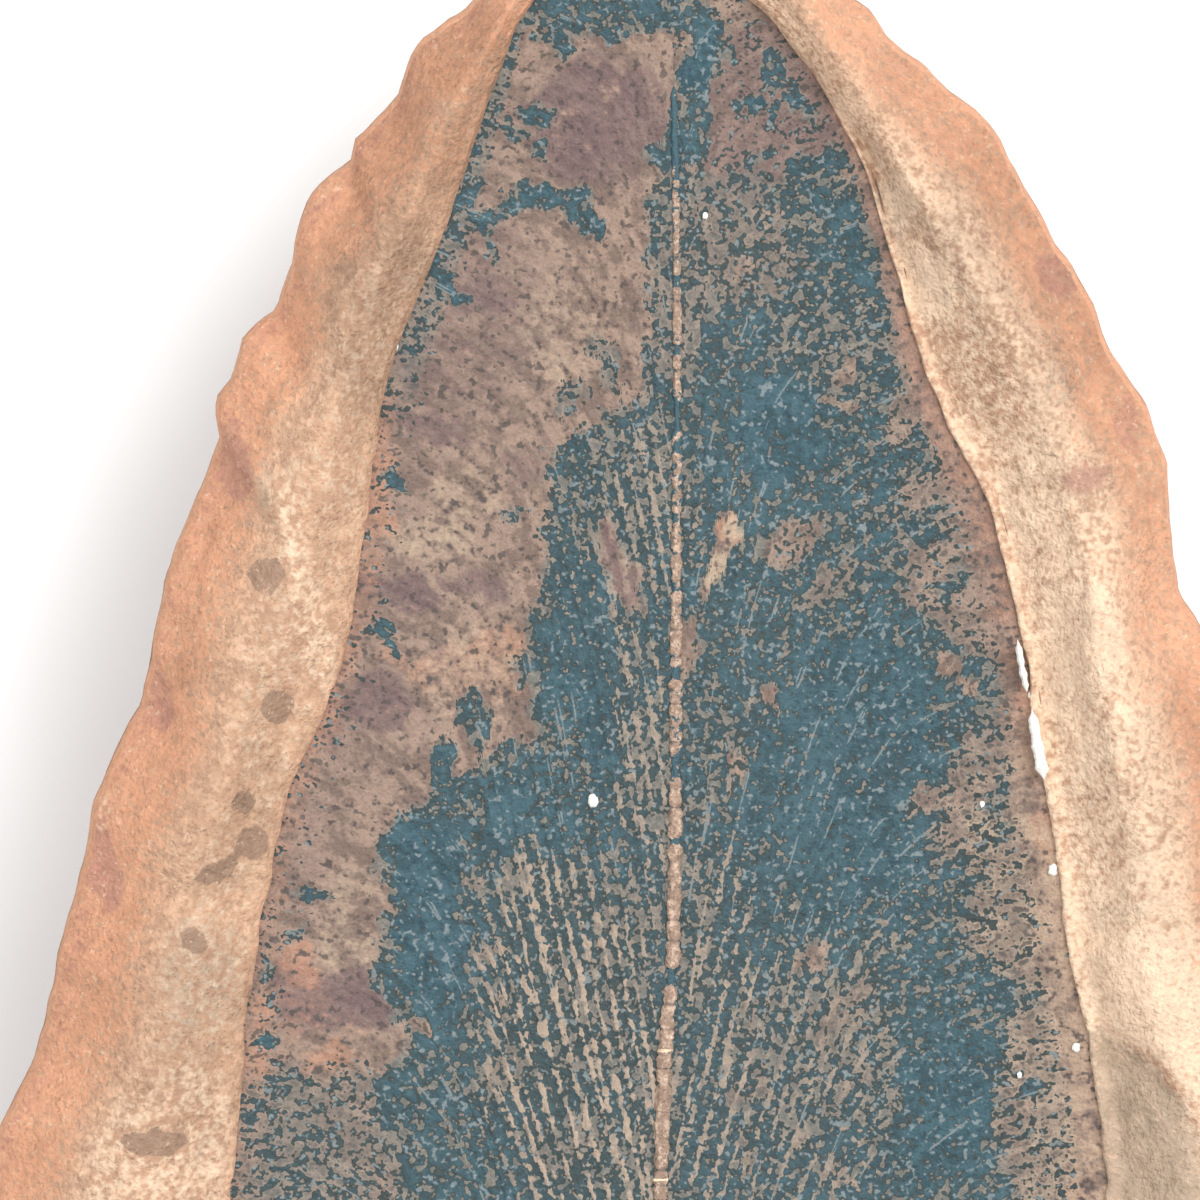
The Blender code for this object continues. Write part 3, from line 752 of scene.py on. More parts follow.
@dataclass(frozen=True)
class MidribFinish:
    """The grains of the midrib."""

    surface: Surface = Surface(0.2, 0.8, 0.08, 0.7, (0.7, 0.9))
    grain: Colour = seen(165, 138, 120)
    bright: Colour = seen(207, 181, 160)
    dark: Colour = seen(112, 98, 92)
    glint: Colour = seen(255, 226, 192)
    film: Colour = LeafFinish.film


@dataclass(frozen=True)
class KaoliniteFinish:
    """White clay mineral."""

    surface: Surface = Surface(0.15, 0.4, 0.04, 0.0, (0.6, 0.85))
    white: Colour = seen(255, 253, 246)
    dusty: Colour = seen(226, 212, 188)


Value = Socket | float


class Nodes:
    """A short way to write a node tree, for a material or for a group."""

    def __init__(self, tree: bpy.types.NodeTree) -> None:
        """Work on a tree, which gets the nodes."""
        self.tree = tree

    def add(self, kind: str, **settings: object) -> bpy.types.Node:
        """Add a node.

        Args:
            kind: its Blender type name, without ShaderNode.
            settings: properties to set on it.

        Returns:
            The node.
        """
        node = self.tree.nodes.new(f"ShaderNode{kind}")
        for name, value in settings.items():
            setattr(node, name, value)
        return node

    def feed(self, socket: Socket, value: object) -> None:
        """Link a socket to another one, or set its value.

        Args:
            socket: the input.
            value: an output socket, a number or a colour.
        """
        if isinstance(value, Socket):
            self.tree.links.new(value, socket)
        elif socket.type == "RGBA":
            socket.default_value = (*value, 1)
        else:
            socket.default_value = value

    def math(self, operation: str, a: Value, b: Value = 0.0) -> Socket:
        """Combine two numbers.

        Args:
            operation: Blender's name for it, such as ADD.
            a, b: the numbers.

        Returns:
            The result.
        """
        node = self.add("Math", operation=operation)
        self.feed(node.inputs[0], a)
        self.feed(node.inputs[1], b)
        return node.outputs[0]

    def total(self, *parts: tuple[Value, float] | Value) -> Socket:
        """Add numbers up.

        Args:
            parts: each a value, or a value between 0 and 1 and its weight, which swings about 0.

        Returns:
            The sum.
        """
        result: Value = 0.0
        for part in parts:
            if isinstance(part, tuple):
                part = self.math("MULTIPLY", self.math("SUBTRACT", part[0], 0.5), part[1])
            result = self.math("ADD", result, part)
        return result

    def step(
        self, value: Value, low: Value, high: Value, to: tuple[float, float] = (0.0, 1.0)
    ) -> Socket:
        """Map a value with a smooth step.

        Args:
            value: what is mapped.
            low, high: where the step starts and ends.
            to: the results there.

        Returns:
            The mapped value.
        """
        node = self.add("MapRange", interpolation_type="SMOOTHSTEP")
        for name, item in zip(("Value", "From Min", "From Max", "To Min", "To Max"), (value, low, high, *to)):
            self.feed(node.inputs[name], item)
        return node.outputs["Result"]

    def blend(self, share: Value, a: object, b: object, mode: str = "MIX") -> Socket:
        """Mix two colours.

        Args:
            share: 0 gives a and 1 gives b.
            a, b: the colours.
            mode: Blender's blend mode.

        Returns:
            The mixed colour.
        """
        node = self.add("Mix", data_type="RGBA", blend_type=mode)
        self.feed(node.inputs["Factor"], share)
        self.feed(node.inputs[6], a)
        self.feed(node.inputs[7], b)
        return node.outputs[2]

    def cloud(self, at: Value, scale: Value, detail: float = 2.0, rough: float = 0.5) -> Socket:
        """Draw noise.

        Args:
            at: the position.
            scale: lumps per unit of position.
            detail: its octaves.
            rough: the strength of the finer ones.

        Returns:
            The noise, from 0 to 1 about 0.5.
        """
        node = self.add("TexNoise")
        for name, item in (("Vector", at), ("Scale", scale), ("Detail", detail), ("Roughness", rough)):
            self.feed(node.inputs[name], item)
        return node.outputs["Fac"]

    def attribute(self, name: str) -> Socket:
        """Read a number that the mesh carries by its name."""
        return self.add("Attribute", attribute_name=name).outputs["Fac"]

    def millimetres(self) -> Socket:
        """Give the object's own position in millimetres."""
        scale = self.add("VectorMath", operation="SCALE")
        self.feed(scale.inputs[0], self.add("TexCoord").outputs["Object"])
        scale.inputs["Scale"].default_value = 1 / MM
        return scale.outputs[0]

    def group(self, tree: bpy.types.NodeTree, **inputs: object) -> dict[str, Socket]:
        """Place a node group.

        Args:
            tree: the group.
            inputs: values for its inputs, with _ for a space in a name.

        Returns:
            The group's outputs by name.
        """
        node = self.add("Group", node_tree=tree)
        for name, value in inputs.items():
            self.feed(node.inputs[name.replace("_", " ")], value)
        return dict(node.outputs.items())


class Effect:
    """A node group that several materials share."""

    def __init__(self, name: str, inputs: dict[str, str], outputs: dict[str, str]) -> None:
        """Start the group.

        Args:
            name: the group's name.
            inputs: socket names and kinds, such as Float, Color or Vector.
            outputs: the same for what it puts out.
        """
        self.tree = bpy.data.node_groups.new(name, "ShaderNodeTree")
        for side, sockets in (("INPUT", inputs), ("OUTPUT", outputs)):
            for label, kind in sockets.items():
                self.tree.interface.new_socket(name=label, in_out=side, socket_type=f"NodeSocket{kind}")
        self.nodes = Nodes(self.tree)
        self.given = dict(self.tree.nodes.new("NodeGroupInput").outputs.items())
        self.out = dict(self.tree.nodes.new("NodeGroupOutput").inputs.items())

    def give(self, **results: Value) -> bpy.types.NodeTree:
        """Feed the group's outputs.

        Args:
            results: the value for each output.

        Returns:
            The finished group.
        """
        for name, value in results.items():
            self.nodes.feed(self.out[name], value)
        return self.tree


def rock_grain() -> bpy.types.NodeTree:
    """Build the sandy, crumbly grain that all the rock shares.

    Returns:
        A group that gives a mottle, a crumb tone, a pit mask and a height.
    """
    effect = Effect(
        "rock_grain",
        {"Position": "Vector", "Grain Size": "Float", "Pits": "Float"},
        {"Mottle": "Float", "Crumb": "Float", "Pit": "Float", "Height": "Float"},
    )
    nodes, place = effect.nodes, effect.given["Position"]
    scale = nodes.math("DIVIDE", 1.0, effect.given["Grain Size"])
    mottle = nodes.cloud(place, scale, 4.0, 0.65)
    crumb = nodes.cloud(place, nodes.math("MULTIPLY", scale, 2.7), 1.0)
    chance = nodes.step(nodes.cloud(place, nodes.math("MULTIPLY", scale, 0.37), 0.0), 0.45, 0.6)
    pit = nodes.math("MULTIPLY", nodes.step(crumb, 0.4, 0.3), nodes.math("MULTIPLY", chance, effect.given["Pits"]))
    height = nodes.total(mottle, (crumb, 0.6), nodes.math("MULTIPLY", pit, -0.3))
    return effect.give(Mottle=mottle, Crumb=crumb, Pit=pit, Height=height)


def speckle() -> bpy.types.NodeTree:
    """Build scattered small flecks with ragged sides.

    Returns:
        A group that gives a mask of the flecks.
    """
    effect = Effect("speckle", {"Position": "Vector", "Size": "Float", "Amount": "Float"}, {"Mask": "Float"})
    nodes = effect.nodes
    spots = nodes.cloud(effect.given["Position"], nodes.math("DIVIDE", 1.0, effect.given["Size"]), 2.0, 0.7)
    limit = nodes.math("SUBTRACT", 0.78, nodes.math("MULTIPLY", effect.given["Amount"], 0.28))
    return effect.give(Mask=nodes.step(spots, limit, nodes.math("ADD", limit, 0.04)))


def shading() -> bpy.types.NodeTree:
    """Build the light and dark play of a grain over a colour.

    Returns:
        A group that gives the shaded colour.
    """
    effect = Effect("shading", {"Color": "Color", "Tone": "Float", "Depth": "Float"}, {"Color": "Color"})
    nodes = effect.nodes
    swing = nodes.math("MULTIPLY", nodes.math("SUBTRACT", effect.given["Tone"], 0.5), effect.given["Depth"])
    level = nodes.math("ADD", 1.0, swing)
    tint = nodes.add("CombineColor")
    for socket in tint.inputs[:3]:
        nodes.feed(socket, level)
    return effect.give(Color=nodes.blend(1.0, effect.given["Color"], tint.outputs[0], "MULTIPLY"))


def streaks() -> bpy.types.NodeTree:
    """Build noise that is drawn out along the veins and keeps its width as the veins spread.

    Returns:
        A group that gives the noise, from 0 to 1 about 0.5.
    """
    effect = Effect(
        "streaks",
        {"Vein": "Float", "Strip": "Float", "Travel": "Float", "Width": "Float", "Length": "Float"},
        {"Tone": "Float"},
    )
    nodes, given = effect.nodes, effect.given
    level = nodes.math("LOGARITHM", nodes.math("DIVIDE", given["Strip"], given["Width"]), 2.0)
    octave = nodes.math("FLOOR", level)
    travel = nodes.math("DIVIDE", given["Travel"], given["Length"])
    tones = []
    for extra in (0.0, 1.0):
        place = nodes.add("CombineXYZ")
        count = nodes.math("POWER", 2.0, nodes.math("ADD", octave, extra))
        nodes.feed(place.inputs[0], nodes.math("MULTIPLY", given["Vein"], count))
        nodes.feed(place.inputs[1], travel)
        nodes.feed(place.inputs[2], given["Width"])
        tones.append(nodes.math("SUBTRACT", nodes.cloud(place.outputs[0], 1.0, 1.0), 0.5))
    share = nodes.step(nodes.math("SUBTRACT", level, octave), 0.0, 1.0)
    rest = nodes.math("SUBTRACT", 1.0, share)
    mixed = nodes.math("ADD", nodes.math("MULTIPLY", tones[0], rest), nodes.math("MULTIPLY", tones[1], share))
    spread = nodes.math("ADD", nodes.math("MULTIPLY", share, share), nodes.math("MULTIPLY", rest, rest))
    return effect.give(Tone=nodes.math("ADD", nodes.math("DIVIDE", mixed, nodes.math("SQRT", spread)), 0.5))


def vein_lines() -> bpy.types.NodeTree:
    """Build the forking veins, as the leaf's relief has them.

    Returns:
        A group that gives the gap to the nearest vein, in mm.
    """
    effect = Effect("vein_lines", {"Vein": "Float", "Strip": "Float"}, {"Gap": "Float"})
    nodes, strip = effect.nodes, effect.given["Strip"]
    cell = nodes.math("FLOOR", effect.given["Vein"])
    local = nodes.math("SUBTRACT", nodes.math("SUBTRACT", effect.given["Vein"], cell), 0.5)
    by_vein, by_half = (
        nodes.math("MULTIPLY", nodes.math("SINE", nodes.math("MULTIPLY", cell, turn)), shift)
        for shift, turn in zip(LEAF.fork_shift, LEAF.fork_turns)
    )
    early = nodes.total(1.0, by_vein, nodes.math("MULTIPLY", nodes.math("SIGN", local), by_half))
    room = nodes.math("MULTIPLY", strip, early)
    gap = nodes.math("ABSOLUTE", local)
    for spread, low, high in LEAF.forks:
        gap = nodes.math("ABSOLUTE", nodes.math("SUBTRACT", gap, nodes.step(room, low, high, (0.0, spread))))
    return effect.give(Gap=nodes.math("MULTIPLY", gap, strip))


class Paint(Nodes):
    """A material under construction, with its place in millimetres and its grain."""

    def __init__(self, name: str, surface: Surface, palette: Palette) -> None:
        """Start the material.

        Args:
            name: its name.
            surface: its grain and gloss.
            palette: where the shared effects are.
        """
        self.material = bpy.data.materials.new(name)
        self.material.use_nodes = True
        super().__init__(self.material.node_tree)
        self.surface = surface
        self.palette = palette
        self.place = self.millimetres()
        self.grain = self.group(
            palette.grain, Position=self.place, Grain_Size=surface.grain_size, Pits=surface.pits
        )

    def tint(self, colour: Value, tint: Tint, *noises: tuple[Value, float]) -> Socket:
        """Lay a tint over a colour.

        Args:
            colour: what is there before.
            tint: what is laid on.
            noises: what makes its sides ragged, each with its weight.

        Returns:
            The tinted colour.
        """
        amount = self.total(self.attribute(tint.mask), *noises)
        return self.blend(self.step(amount, tint.low, tint.high, (0.0, tint.most)), colour, tint.colour)

    def shade(self, colour: Value, mottle: float, crumb: float, *more: Value) -> Socket:
        """Darken and lighten a colour with the grain.

        Args:
            colour: what is shaded.
            mottle, crumb: the weights of the grain's two parts.
            more: what else is added to the tone.

        Returns:
            The shaded colour.
        """
        tone = self.total(0.5, (self.grain["Mottle"], mottle), (self.grain["Crumb"], crumb), *more)
        return self.group(self.palette.shading, Color=colour, Tone=tone, Depth=self.surface.depth)["Color"]

    def done(self, colour: Value, height: Value, wear: Value | None = None) -> bpy.types.Material:
        """Feed the shader.

        Args:
            colour: the surface's colour.
            height: the bump's height, about 0 to 1.
            wear: what the roughness follows, from 0 to 1, if it isn't the grain.

        Returns:
            The finished material.
        """
        shader = self.tree.nodes["Principled BSDF"]
        bump = self.add("Bump")
        bump.inputs["Distance"].default_value = self.surface.bump * MM
        bump.inputs["Strength"].default_value = 1
        self.feed(bump.inputs["Height"], height)
        span = (self.grain["Mottle"], 0.2, 0.8) if wear is None else (wear, 0.0, 1.0)
        self.feed(shader.inputs["Base Color"], colour)
        self.feed(shader.inputs["Roughness"], self.step(*span, self.surface.roughness))
        self.feed(shader.inputs["Normal"], bump.outputs["Normal"])
        shader.inputs["Specular IOR Level"].default_value = self.surface.specular
        return self.material


class Palette:
    """The materials of the plate, each built once."""

    def __init__(self) -> None:
        """Build the shared effects first, and the materials on them."""
        self.grain = rock_grain()
        self.speckle = speckle()
        self.shading = shading()
        self.streaks = streaks()
        self.vein_lines = vein_lines()
        self.stone = self._stone(StoneFinish())
        self.leaf = self._leaf(LeafFinish())
        self.midrib = self._midrib(MidribFinish())
        self.kaolinite = self._kaolinite(KaoliniteFinish())
        self.floor = self._floor()

    def _stone(self, finish: StoneFinish) -> bpy.types.Material:
        """Build the ironstone.

        Args:
            finish: its colours and grain.

        Returns:
            The material.
        """
        nodes = Paint("ironstone", finish.surface, self)
        place, grain = nodes.place, nodes.grain
        broad, middle, fine = (nodes.cloud(place, *cloud) for cloud in finish.clouds)
        flake = nodes.step(nodes.total(nodes.cloud(place, 2.6, 1.0), (fine, 0.3)), 0.43, 0.57)
        colour = nodes.blend(nodes.step(nodes.total(middle, (fine, 1.0)), 0.35, 0.6), finish.shadow, finish.tan)
        for tint in finish.tints:
            colour = nodes.tint(colour, tint, (broad, 0.7), (middle, 0.6), (fine, 1.3))
        colour = nodes.tint(colour, finish.stain, (middle, 0.3), (fine, 0.8))
        rind = nodes.total(nodes.attribute("rind"), (broad, 1.0))
        rind_colour = nodes.blend(nodes.step(middle, 0.35, 0.68), finish.rind, finish.rind_dark)
        colour = nodes.blend(nodes.step(rind, 0.3, 0.75), colour, rind_colour)
        flecks = nodes.group(self.speckle, Position=place, Size=finish.fleck_size, Amount=finish.flecks)["Mask"]
        colour = nodes.blend(nodes.math("MULTIPLY", flecks, 0.35), colour, finish.cream)
        # painted shade: the grain's pits are darkened, as shade in the hollows
        colour = nodes.blend(nodes.math("MULTIPLY", grain["Pit"], 0.5), colour, finish.shadow)
        # painted shade: the mask darkens the rim where it faces away from the light
        painted_shade = nodes.math("MULTIPLY", nodes.attribute("painted_shade"), finish.painted_shade)
        return nodes.done(nodes.shade(colour, 0.7, 0.25, (flake, 0.1), painted_shade), grain["Height"])

    def _leaf(self, finish: LeafFinish) -> bpy.types.Material:
        """Build the leaf: the bare impression, its veins and the film on them.

        Args:
            finish: its colours and grain.

        Returns:
            The material.
        """
        nodes = Paint("leaf_film", finish.surface, self)
        place, grain = nodes.place, nodes.grain
        middle, fine = (nodes.cloud(place, *cloud) for cloud in finish.clouds)
        map_place = nodes.add("SeparateXYZ")
        nodes.feed(map_place.inputs[0], nodes.add("UVMap", uv_map="veins").outputs["UV"])
        along = {"Vein": map_place.outputs[0], "Strip": nodes.attribute("strip")}
        dash, sweep = (
            nodes.group(self.streaks, Travel=map_place.outputs[1], Width=width, Length=length, **along)["Tone"]
            for width, length in (finish.dash, finish.sweep)
        )
        gap = nodes.group(self.vein_lines, **along)["Gap"]
        vein_show, cover = nodes.attribute("vein_show"), nodes.attribute("film")

        # the pale lines along the veins, broken here and there, and the scratches
        line = nodes.step(nodes.total(gap, (fine, 0.34), (dash, -0.3), (sweep, -0.16)), 0.075, 0.03)
        whole = nodes.step(nodes.total(nodes.cloud(place, 1.8, 1.0), (dash, 0.4)), 0.38, 0.52, (0.25, 1.0))
        shown = nodes.math("MULTIPLY", nodes.math("MULTIPLY", line, whole), vein_show)
        scratch = nodes.step(nodes.total(gap, (fine, 0.12)), 0.05, 0.02)
        scratch = nodes.math("MULTIPLY", scratch, nodes.step(nodes.total(sweep, (fine, 0.5)), 0.6, 0.66))

        # where the film holds
        cleared = nodes.step(cover, 0.0, 0.2, (-0.6, 0.0))
        solid = nodes.step(cover, 0.85, 1.1, (0.0, 0.5))
        opened = nodes.math("MULTIPLY", shown, -1.1)
        field = nodes.total(cover, cleared, solid, opened, (fine, 2.4), (dash, 2.1), (middle, 1.3))
        film = nodes.step(field, 0.42, 0.54)

        # the bare rock
        mix = nodes.step(nodes.total(middle, (sweep, 0.8), (fine, 0.5)), 0.36, 0.62)
        bare = nodes.blend(mix, finish.brown, finish.tan)
        for tint in finish.tints:
            bare = nodes.tint(bare, tint, (middle, 1.3), (dash, 0.6), (fine, 0.8))
        dots = nodes.total(dash, (fine, 1.1), (grain["Mottle"], 0.6))
        bare = nodes.blend(nodes.step(dots, 0.34, 0.22, (0.0, 0.75)), bare, finish.dark)
        bare = nodes.blend(nodes.step(cover, 0.15, 0.7, (0.0, 0.62)), bare, finish.haze)
        bare = nodes.blend(nodes.math("MULTIPLY", shown, 0.75), bare, finish.vein)
        bare = nodes.shade(bare, 1.2, 0.5)

        # the film itself: duller where it is worn, and brown where it is thin
        mix = nodes.step(nodes.total(middle, (fine, 0.7), (sweep, 0.5)), 0.36, 0.62)
        coat = nodes.blend(mix, finish.film_deep, finish.film)
        worn = nodes.step(nodes.total(cover, (middle, 0.6), (sweep, 0.5)), 1.05, 0.7, (0.0, 0.85))
        coat = nodes.blend(worn, coat, finish.film_dull)
        thin = nodes.math("MULTIPLY", vein_show, 0.4)
        thin = nodes.math("MAXIMUM", thin, nodes.step(cover, 0.65, 0.3, (0.0, 0.75)))
        thin = nodes.math("MAXIMUM", thin, nodes.step(field, 0.95, 0.5, (0.0, 0.9)))
        coat = nodes.blend(thin, coat, finish.film_edge)
        flecks = nodes.step(nodes.total(nodes.cloud(place, 5.2, 1.0), (dash, 0.4)), 0.6, 0.72, (0.0, 0.7))
        pale = nodes.math("MAXIMUM", flecks, nodes.math("MULTIPLY", scratch, 0.7))
        coat = nodes.blend(pale, coat, finish.film_pale)
        coat = nodes.group(self.shading, Color=coat, Tone=grain["Mottle"], Depth=finish.film_depth)["Color"]
        return nodes.done(nodes.blend(film, bare, coat), nodes.total(grain["Height"], (fine, 0.8)), film)

    def _midrib(self, finish: MidribFinish) -> bpy.types.Material:
        """Build the midrib's grains.

        Args:
            finish: their colours and grain.

        Returns:
            The material.
        """
        nodes = Paint("midrib_grains", finish.surface, self)
        mottle = nodes.grain["Mottle"]
        colour = nodes.blend(nodes.step(mottle, 0.45, 0.66), finish.grain, finish.bright)
        colour = nodes.tint(colour, Tint("joint", finish.dark, 0.3, 0.9, 0.6), (mottle, -1.2))
        colour = nodes.tint(colour, Tint("glint", finish.glint, 0.3, 0.8, 1.0), (mottle, 1.5))
        patches = nodes.cloud(nodes.place, 3.6, 3.0, 0.6)
        colour = nodes.tint(colour, Tint("film", finish.film, 0.46, 0.54, 1.0), (patches, 2.0))
        return nodes.done(nodes.shade(colour, 1.0, 0.4), nodes.grain["Height"])

    def _kaolinite(self, finish: KaoliniteFinish) -> bpy.types.Material:
        """Build the white mineral.

        Args:
            finish: its colours and grain.

        Returns:
            The material.
        """
        nodes = Paint("kaolinite", finish.surface, self)
        dust = nodes.step(nodes.grain["Mottle"], 0.5, 0.3, (0.0, 0.6))
        return nodes.done(nodes.blend(dust, finish.white, finish.dusty), nodes.grain["Height"])

    def _floor(self) -> bpy.types.Material:
        """Build the plain pale floor."""
        material = bpy.data.materials.new("pale_floor")
        material.use_nodes = True
        shader = material.node_tree.nodes["Principled BSDF"]
        shader.inputs["Base Color"].default_value = (0.92, 0.92, 0.92, 1)
        shader.inputs["Roughness"].default_value = 0.9
        return material


# ---------------------------------------------------------------------------------------------------------
# Meshes.


class Model:
    """A piece under construction: a bmesh whose vertices are moulded as one array, in mm."""

    def __init__(self, name: str) -> None:
        """Start an empty piece with the finished object's name."""
        self.name = name
        self.shape = bmesh.new()

    @property
    def points(self) -> Array:
        """The vertices' positions, one row each."""
        return np.array([vertex.co for vertex in self.shape.verts])

    def mould(self, points: Array) -> None:
        """Move every vertex to its new position, in mm."""
        for vertex, point in zip(self.shape.verts, points * MM):
            vertex.co = point

    def place(self, material: bpy.types.Material) -> bpy.types.Object:
        """Make the object from the bmesh and set it in the scene.

        Args:
            material: the piece's material.

        Returns:
            The object, flat shaded.
        """
        mesh = bpy.data.meshes.new(self.name)
        self.shape.to_mesh(mesh)
        self.shape.free()
        mesh.materials.append(material)
        piece = bpy.data.objects.new(self.name, mesh)
        bpy.context.scene.collection.objects.link(piece)
        return piece

    def finish(
        self, material: bpy.types.Material, numbers: dict[str, Array] | None = None, uv: Array | None = None
    ) -> bpy.types.Object:
        """Make a piece that rides on the plate's one body.

        Args:
            material: the piece's material.
            numbers: values that each vertex carries, by name.
            uv: a UV place for each vertex, kept as the map called veins.

        Returns:
            The object.
        """
        bmesh.ops.recalc_face_normals(self.shape, faces=self.shape.faces)
        piece = self.place(material)
        mesh = piece.data
        mesh.shade_smooth()
        for name, values in (numbers or {}).items():
            padded = np.zeros(len(mesh.vertices))
            padded[: len(values)] = values
            mesh.attributes.new(name, "FLOAT", "POINT").data.foreach_set("value", padded)
        if uv is not None:
            padded = np.zeros((len(mesh.vertices), 2))
            padded[: len(uv)] = uv
            corners = np.empty(len(mesh.loops), dtype=np.int32)
            mesh.loops.foreach_get("vertex_index", corners)
            mesh.uv_layers.new(name="veins").data.foreach_set("uv", padded[corners].ravel())
        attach(piece, "root")
        LOG.info("%s: %d faces", self.name, len(mesh.polygons))
        return piece


@dataclass
class NoduleStone:
    """The nodule half: split face round the leaf, broken edge and rounded back."""

    segments: int = 600
    rim_rings: int = 56
    edge_rings: int = 9
    back_rings: int = 72
    inner_ripple: Noise = Noise(0.14, 1.3, 12.0, 3)
    outer_ripple: Noise = Noise(0.1, 0.9, 8.0)
    edge_power: float = 0.8
    # what makes the masks' sides ragged, in x and in y
    drift: tuple[Noises, Noises] = (
        (Noise(0.3, 1.2, 3.0), Noise(0.12, 0.4, 13.0)),
        (Noise(0.3, 1.2, 6.0), Noise(0.12, 0.4, 16.0)),
    )
    # where the colours of the rim start and end: distances to the edge, shares of the rim or heights y
    sides_blend: float = 3.2
    rust_edge: tuple[float, float] = (0.8, 4.2)
    lit_lip: tuple[float, float] = (0.02, 0.08)
    rust_tip: tuple[float, float] = (26, 31)
    pale_edge: tuple[float, float] = (0.6, 2.6)
    pale_tip: tuple[float, float] = (6, 26)
    pale_shelf: tuple[float, float] = (2.6, 4.0)
    grey_edge: tuple[float, float] = (1.5, 4)
    grey_shelf: Points = ((2.5, 1.1), (4.0, 0.4), (22.0, 0.38), (27.0, 0.0))
    purple_edge: tuple[float, float] = (0.2, 1.0)
    rind_edge: tuple[float, float] = (0.1, 0.35)
    # the painted shade's grain, and how far it is drawn out along the edge
    painted_shade_grain: Noise = Noise(0.1, 1.7, 31.0)
    painted_shade_stretch: tuple[float, float] = (2.2, 0.5)

    def rings(self) -> list[tuple[str, float]]:
        """List the rings from the middle of the bed to the middle of the underside.

        Returns:
            Each ring's part of the stone and its share of that part.
        """
        bed = [("bed", share) for share in (0.0, 0.5, 1.0)]
        rim = [("rim", share) for share in np.linspace(0, 1, self.rim_rings)]
        edge = [("edge", share) for share in np.linspace(0, 1, self.edge_rings + 1)[1:]]
        back = [("back", share) for share in np.linspace(1, 0, self.back_rings + 1)[1:]]
        return bed + rim + edge + back

    def build(self, palette: Palette) -> bpy.types.Object:
        """Build the stone.

        Args:
            palette: the materials.

        Returns:
            The object, which stands for the solid of the same form.
        """
        rings = self.rings()
        model = Model("nodule_half")
        bmesh.ops.create_uvsphere(model.shape, u_segments=self.segments, v_segments=len(rings) - 1, radius=1)
        ball = model.points
        ring = np.rint(np.arccos(np.clip(ball[:, 2], -1, 1)) / math.pi * (len(rings) - 1)).astype(int)
        column = np.rint(np.arctan2(ball[:, 1], ball[:, 0]) / (2 * math.pi) * self.segments).astype(int)
        angle = STONE.even_angles(self.segments)[column % self.segments]
        part = np.array([name for name, _ in rings])[ring]
        share = np.array([value for _, value in rings])[ring]
        points, numbers = self.lay(part, share, angle)
        model.mould(points)
        stone = model.finish(palette.stone, numbers)
        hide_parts("nodule_stone")
        return stone

    def lay(self, part: Array, share: Array, angle: Array) -> tuple[Array, dict[str, Array]]:
        """Place the vertices and colour them.

        Args:
            part: bed, rim, edge or back, for each vertex.
            share: its share of that part.
            angle: its direction from the middle.

        Returns:
            The points in mm, and the colour masks by name.
        """
        inner = LEAF.loop.radius(angle)
        inner = inner + self.inner_ripple.at(inner * np.cos(angle), inner * np.sin(angle))
        outer = STONE.edge.radius(angle)
        outer = outer + self.outer_ripple.at(outer * np.cos(angle), outer * np.sin(angle))
        rim_share = np.where(part == "rim", share, np.where(part == "bed", 0.0, 1.0))
        height = STONE.rim_height(rim_share, angle, inner, outer)
        radius = inner + (outer - inner) * rim_share
        bed, edge, back = part == "bed", part == "edge", part == "back"
        radius[bed] = inner[bed] * share[bed]
        height[bed] = LEAF_MARGIN_Z - STONE.bed_depth
        roll = share[edge] * math.pi / 2
        radius[edge] = outer[edge] + STONE.girth_bulge * np.sin(roll)
        height[edge] = height[edge] - STONE.girth_drop * (1 - np.cos(roll)) ** self.edge_power
        radius[back] = (outer[back] + STONE.girth_bulge) * share[back]
        x, y = radius * np.cos(angle), radius * np.sin(angle)
        girth = height[back] - STONE.girth_drop
        height[back] = STONE.back_height(share[back], x[back], y[back], girth)
        points = np.stack([x, y, height], axis=-1)
        low, high = (np.array(corner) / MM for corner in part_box("nodule_stone"))
        return np.clip(points, low, high), self.colour(part, rim_share, points, outer - radius)

    def colour(
        self, part: Array, share: Array, points: Array, to_edge: Array
    ) -> dict[str, Array]:
        """Work out the colour masks.

        Args:
            part: bed, rim, edge or back, for each vertex.
            share: its place on the rim.
            points: the vertices, in mm.
            to_edge: their distance to the broken edge, in mm.

        Returns:
            The masks by name.
        """
        x, y, _ = points.T
        near_x, near_y = (at + layers(drift, x, y) for at, drift in zip((x, y), self.drift))
        right = ramp(near_x, -self.sides_blend, self.sides_blend)
        left = 1 - right
        shelf = STONE.shelf(x, y, share)
        rust_and_lit_edge = (0.75 - 0.15 * right) * (1 - ramp(to_edge, *self.rust_edge))
        # painted light: an orange lit edge on the left rim's lip beside the leaf, where its wall faces the light
        rust_and_lit_edge = np.maximum(rust_and_lit_edge, 0.3 * left * (1 - ramp(share, *self.lit_lip)))
        rust_and_lit_edge = np.maximum(rust_and_lit_edge, 0.42 * left * ramp(y, *self.rust_tip))
        pale = (0.2 + right * (0.5 - 0.2 * ramp(y, *self.pale_tip))) * ramp(to_edge, *self.pale_edge)
        pale = pale * (1 - 0.9 * shelf * (1 - ramp(y, *self.pale_shelf)))
        grey = shelf * np.interp(y, *zip(*self.grey_shelf))
        grey = np.maximum(grey, 0.3 * left * ramp(to_edge, *self.grey_edge))
        purple = 0.5 * left * (1 - ramp(to_edge, *self.purple_edge))
        plain = np.zeros_like(x)
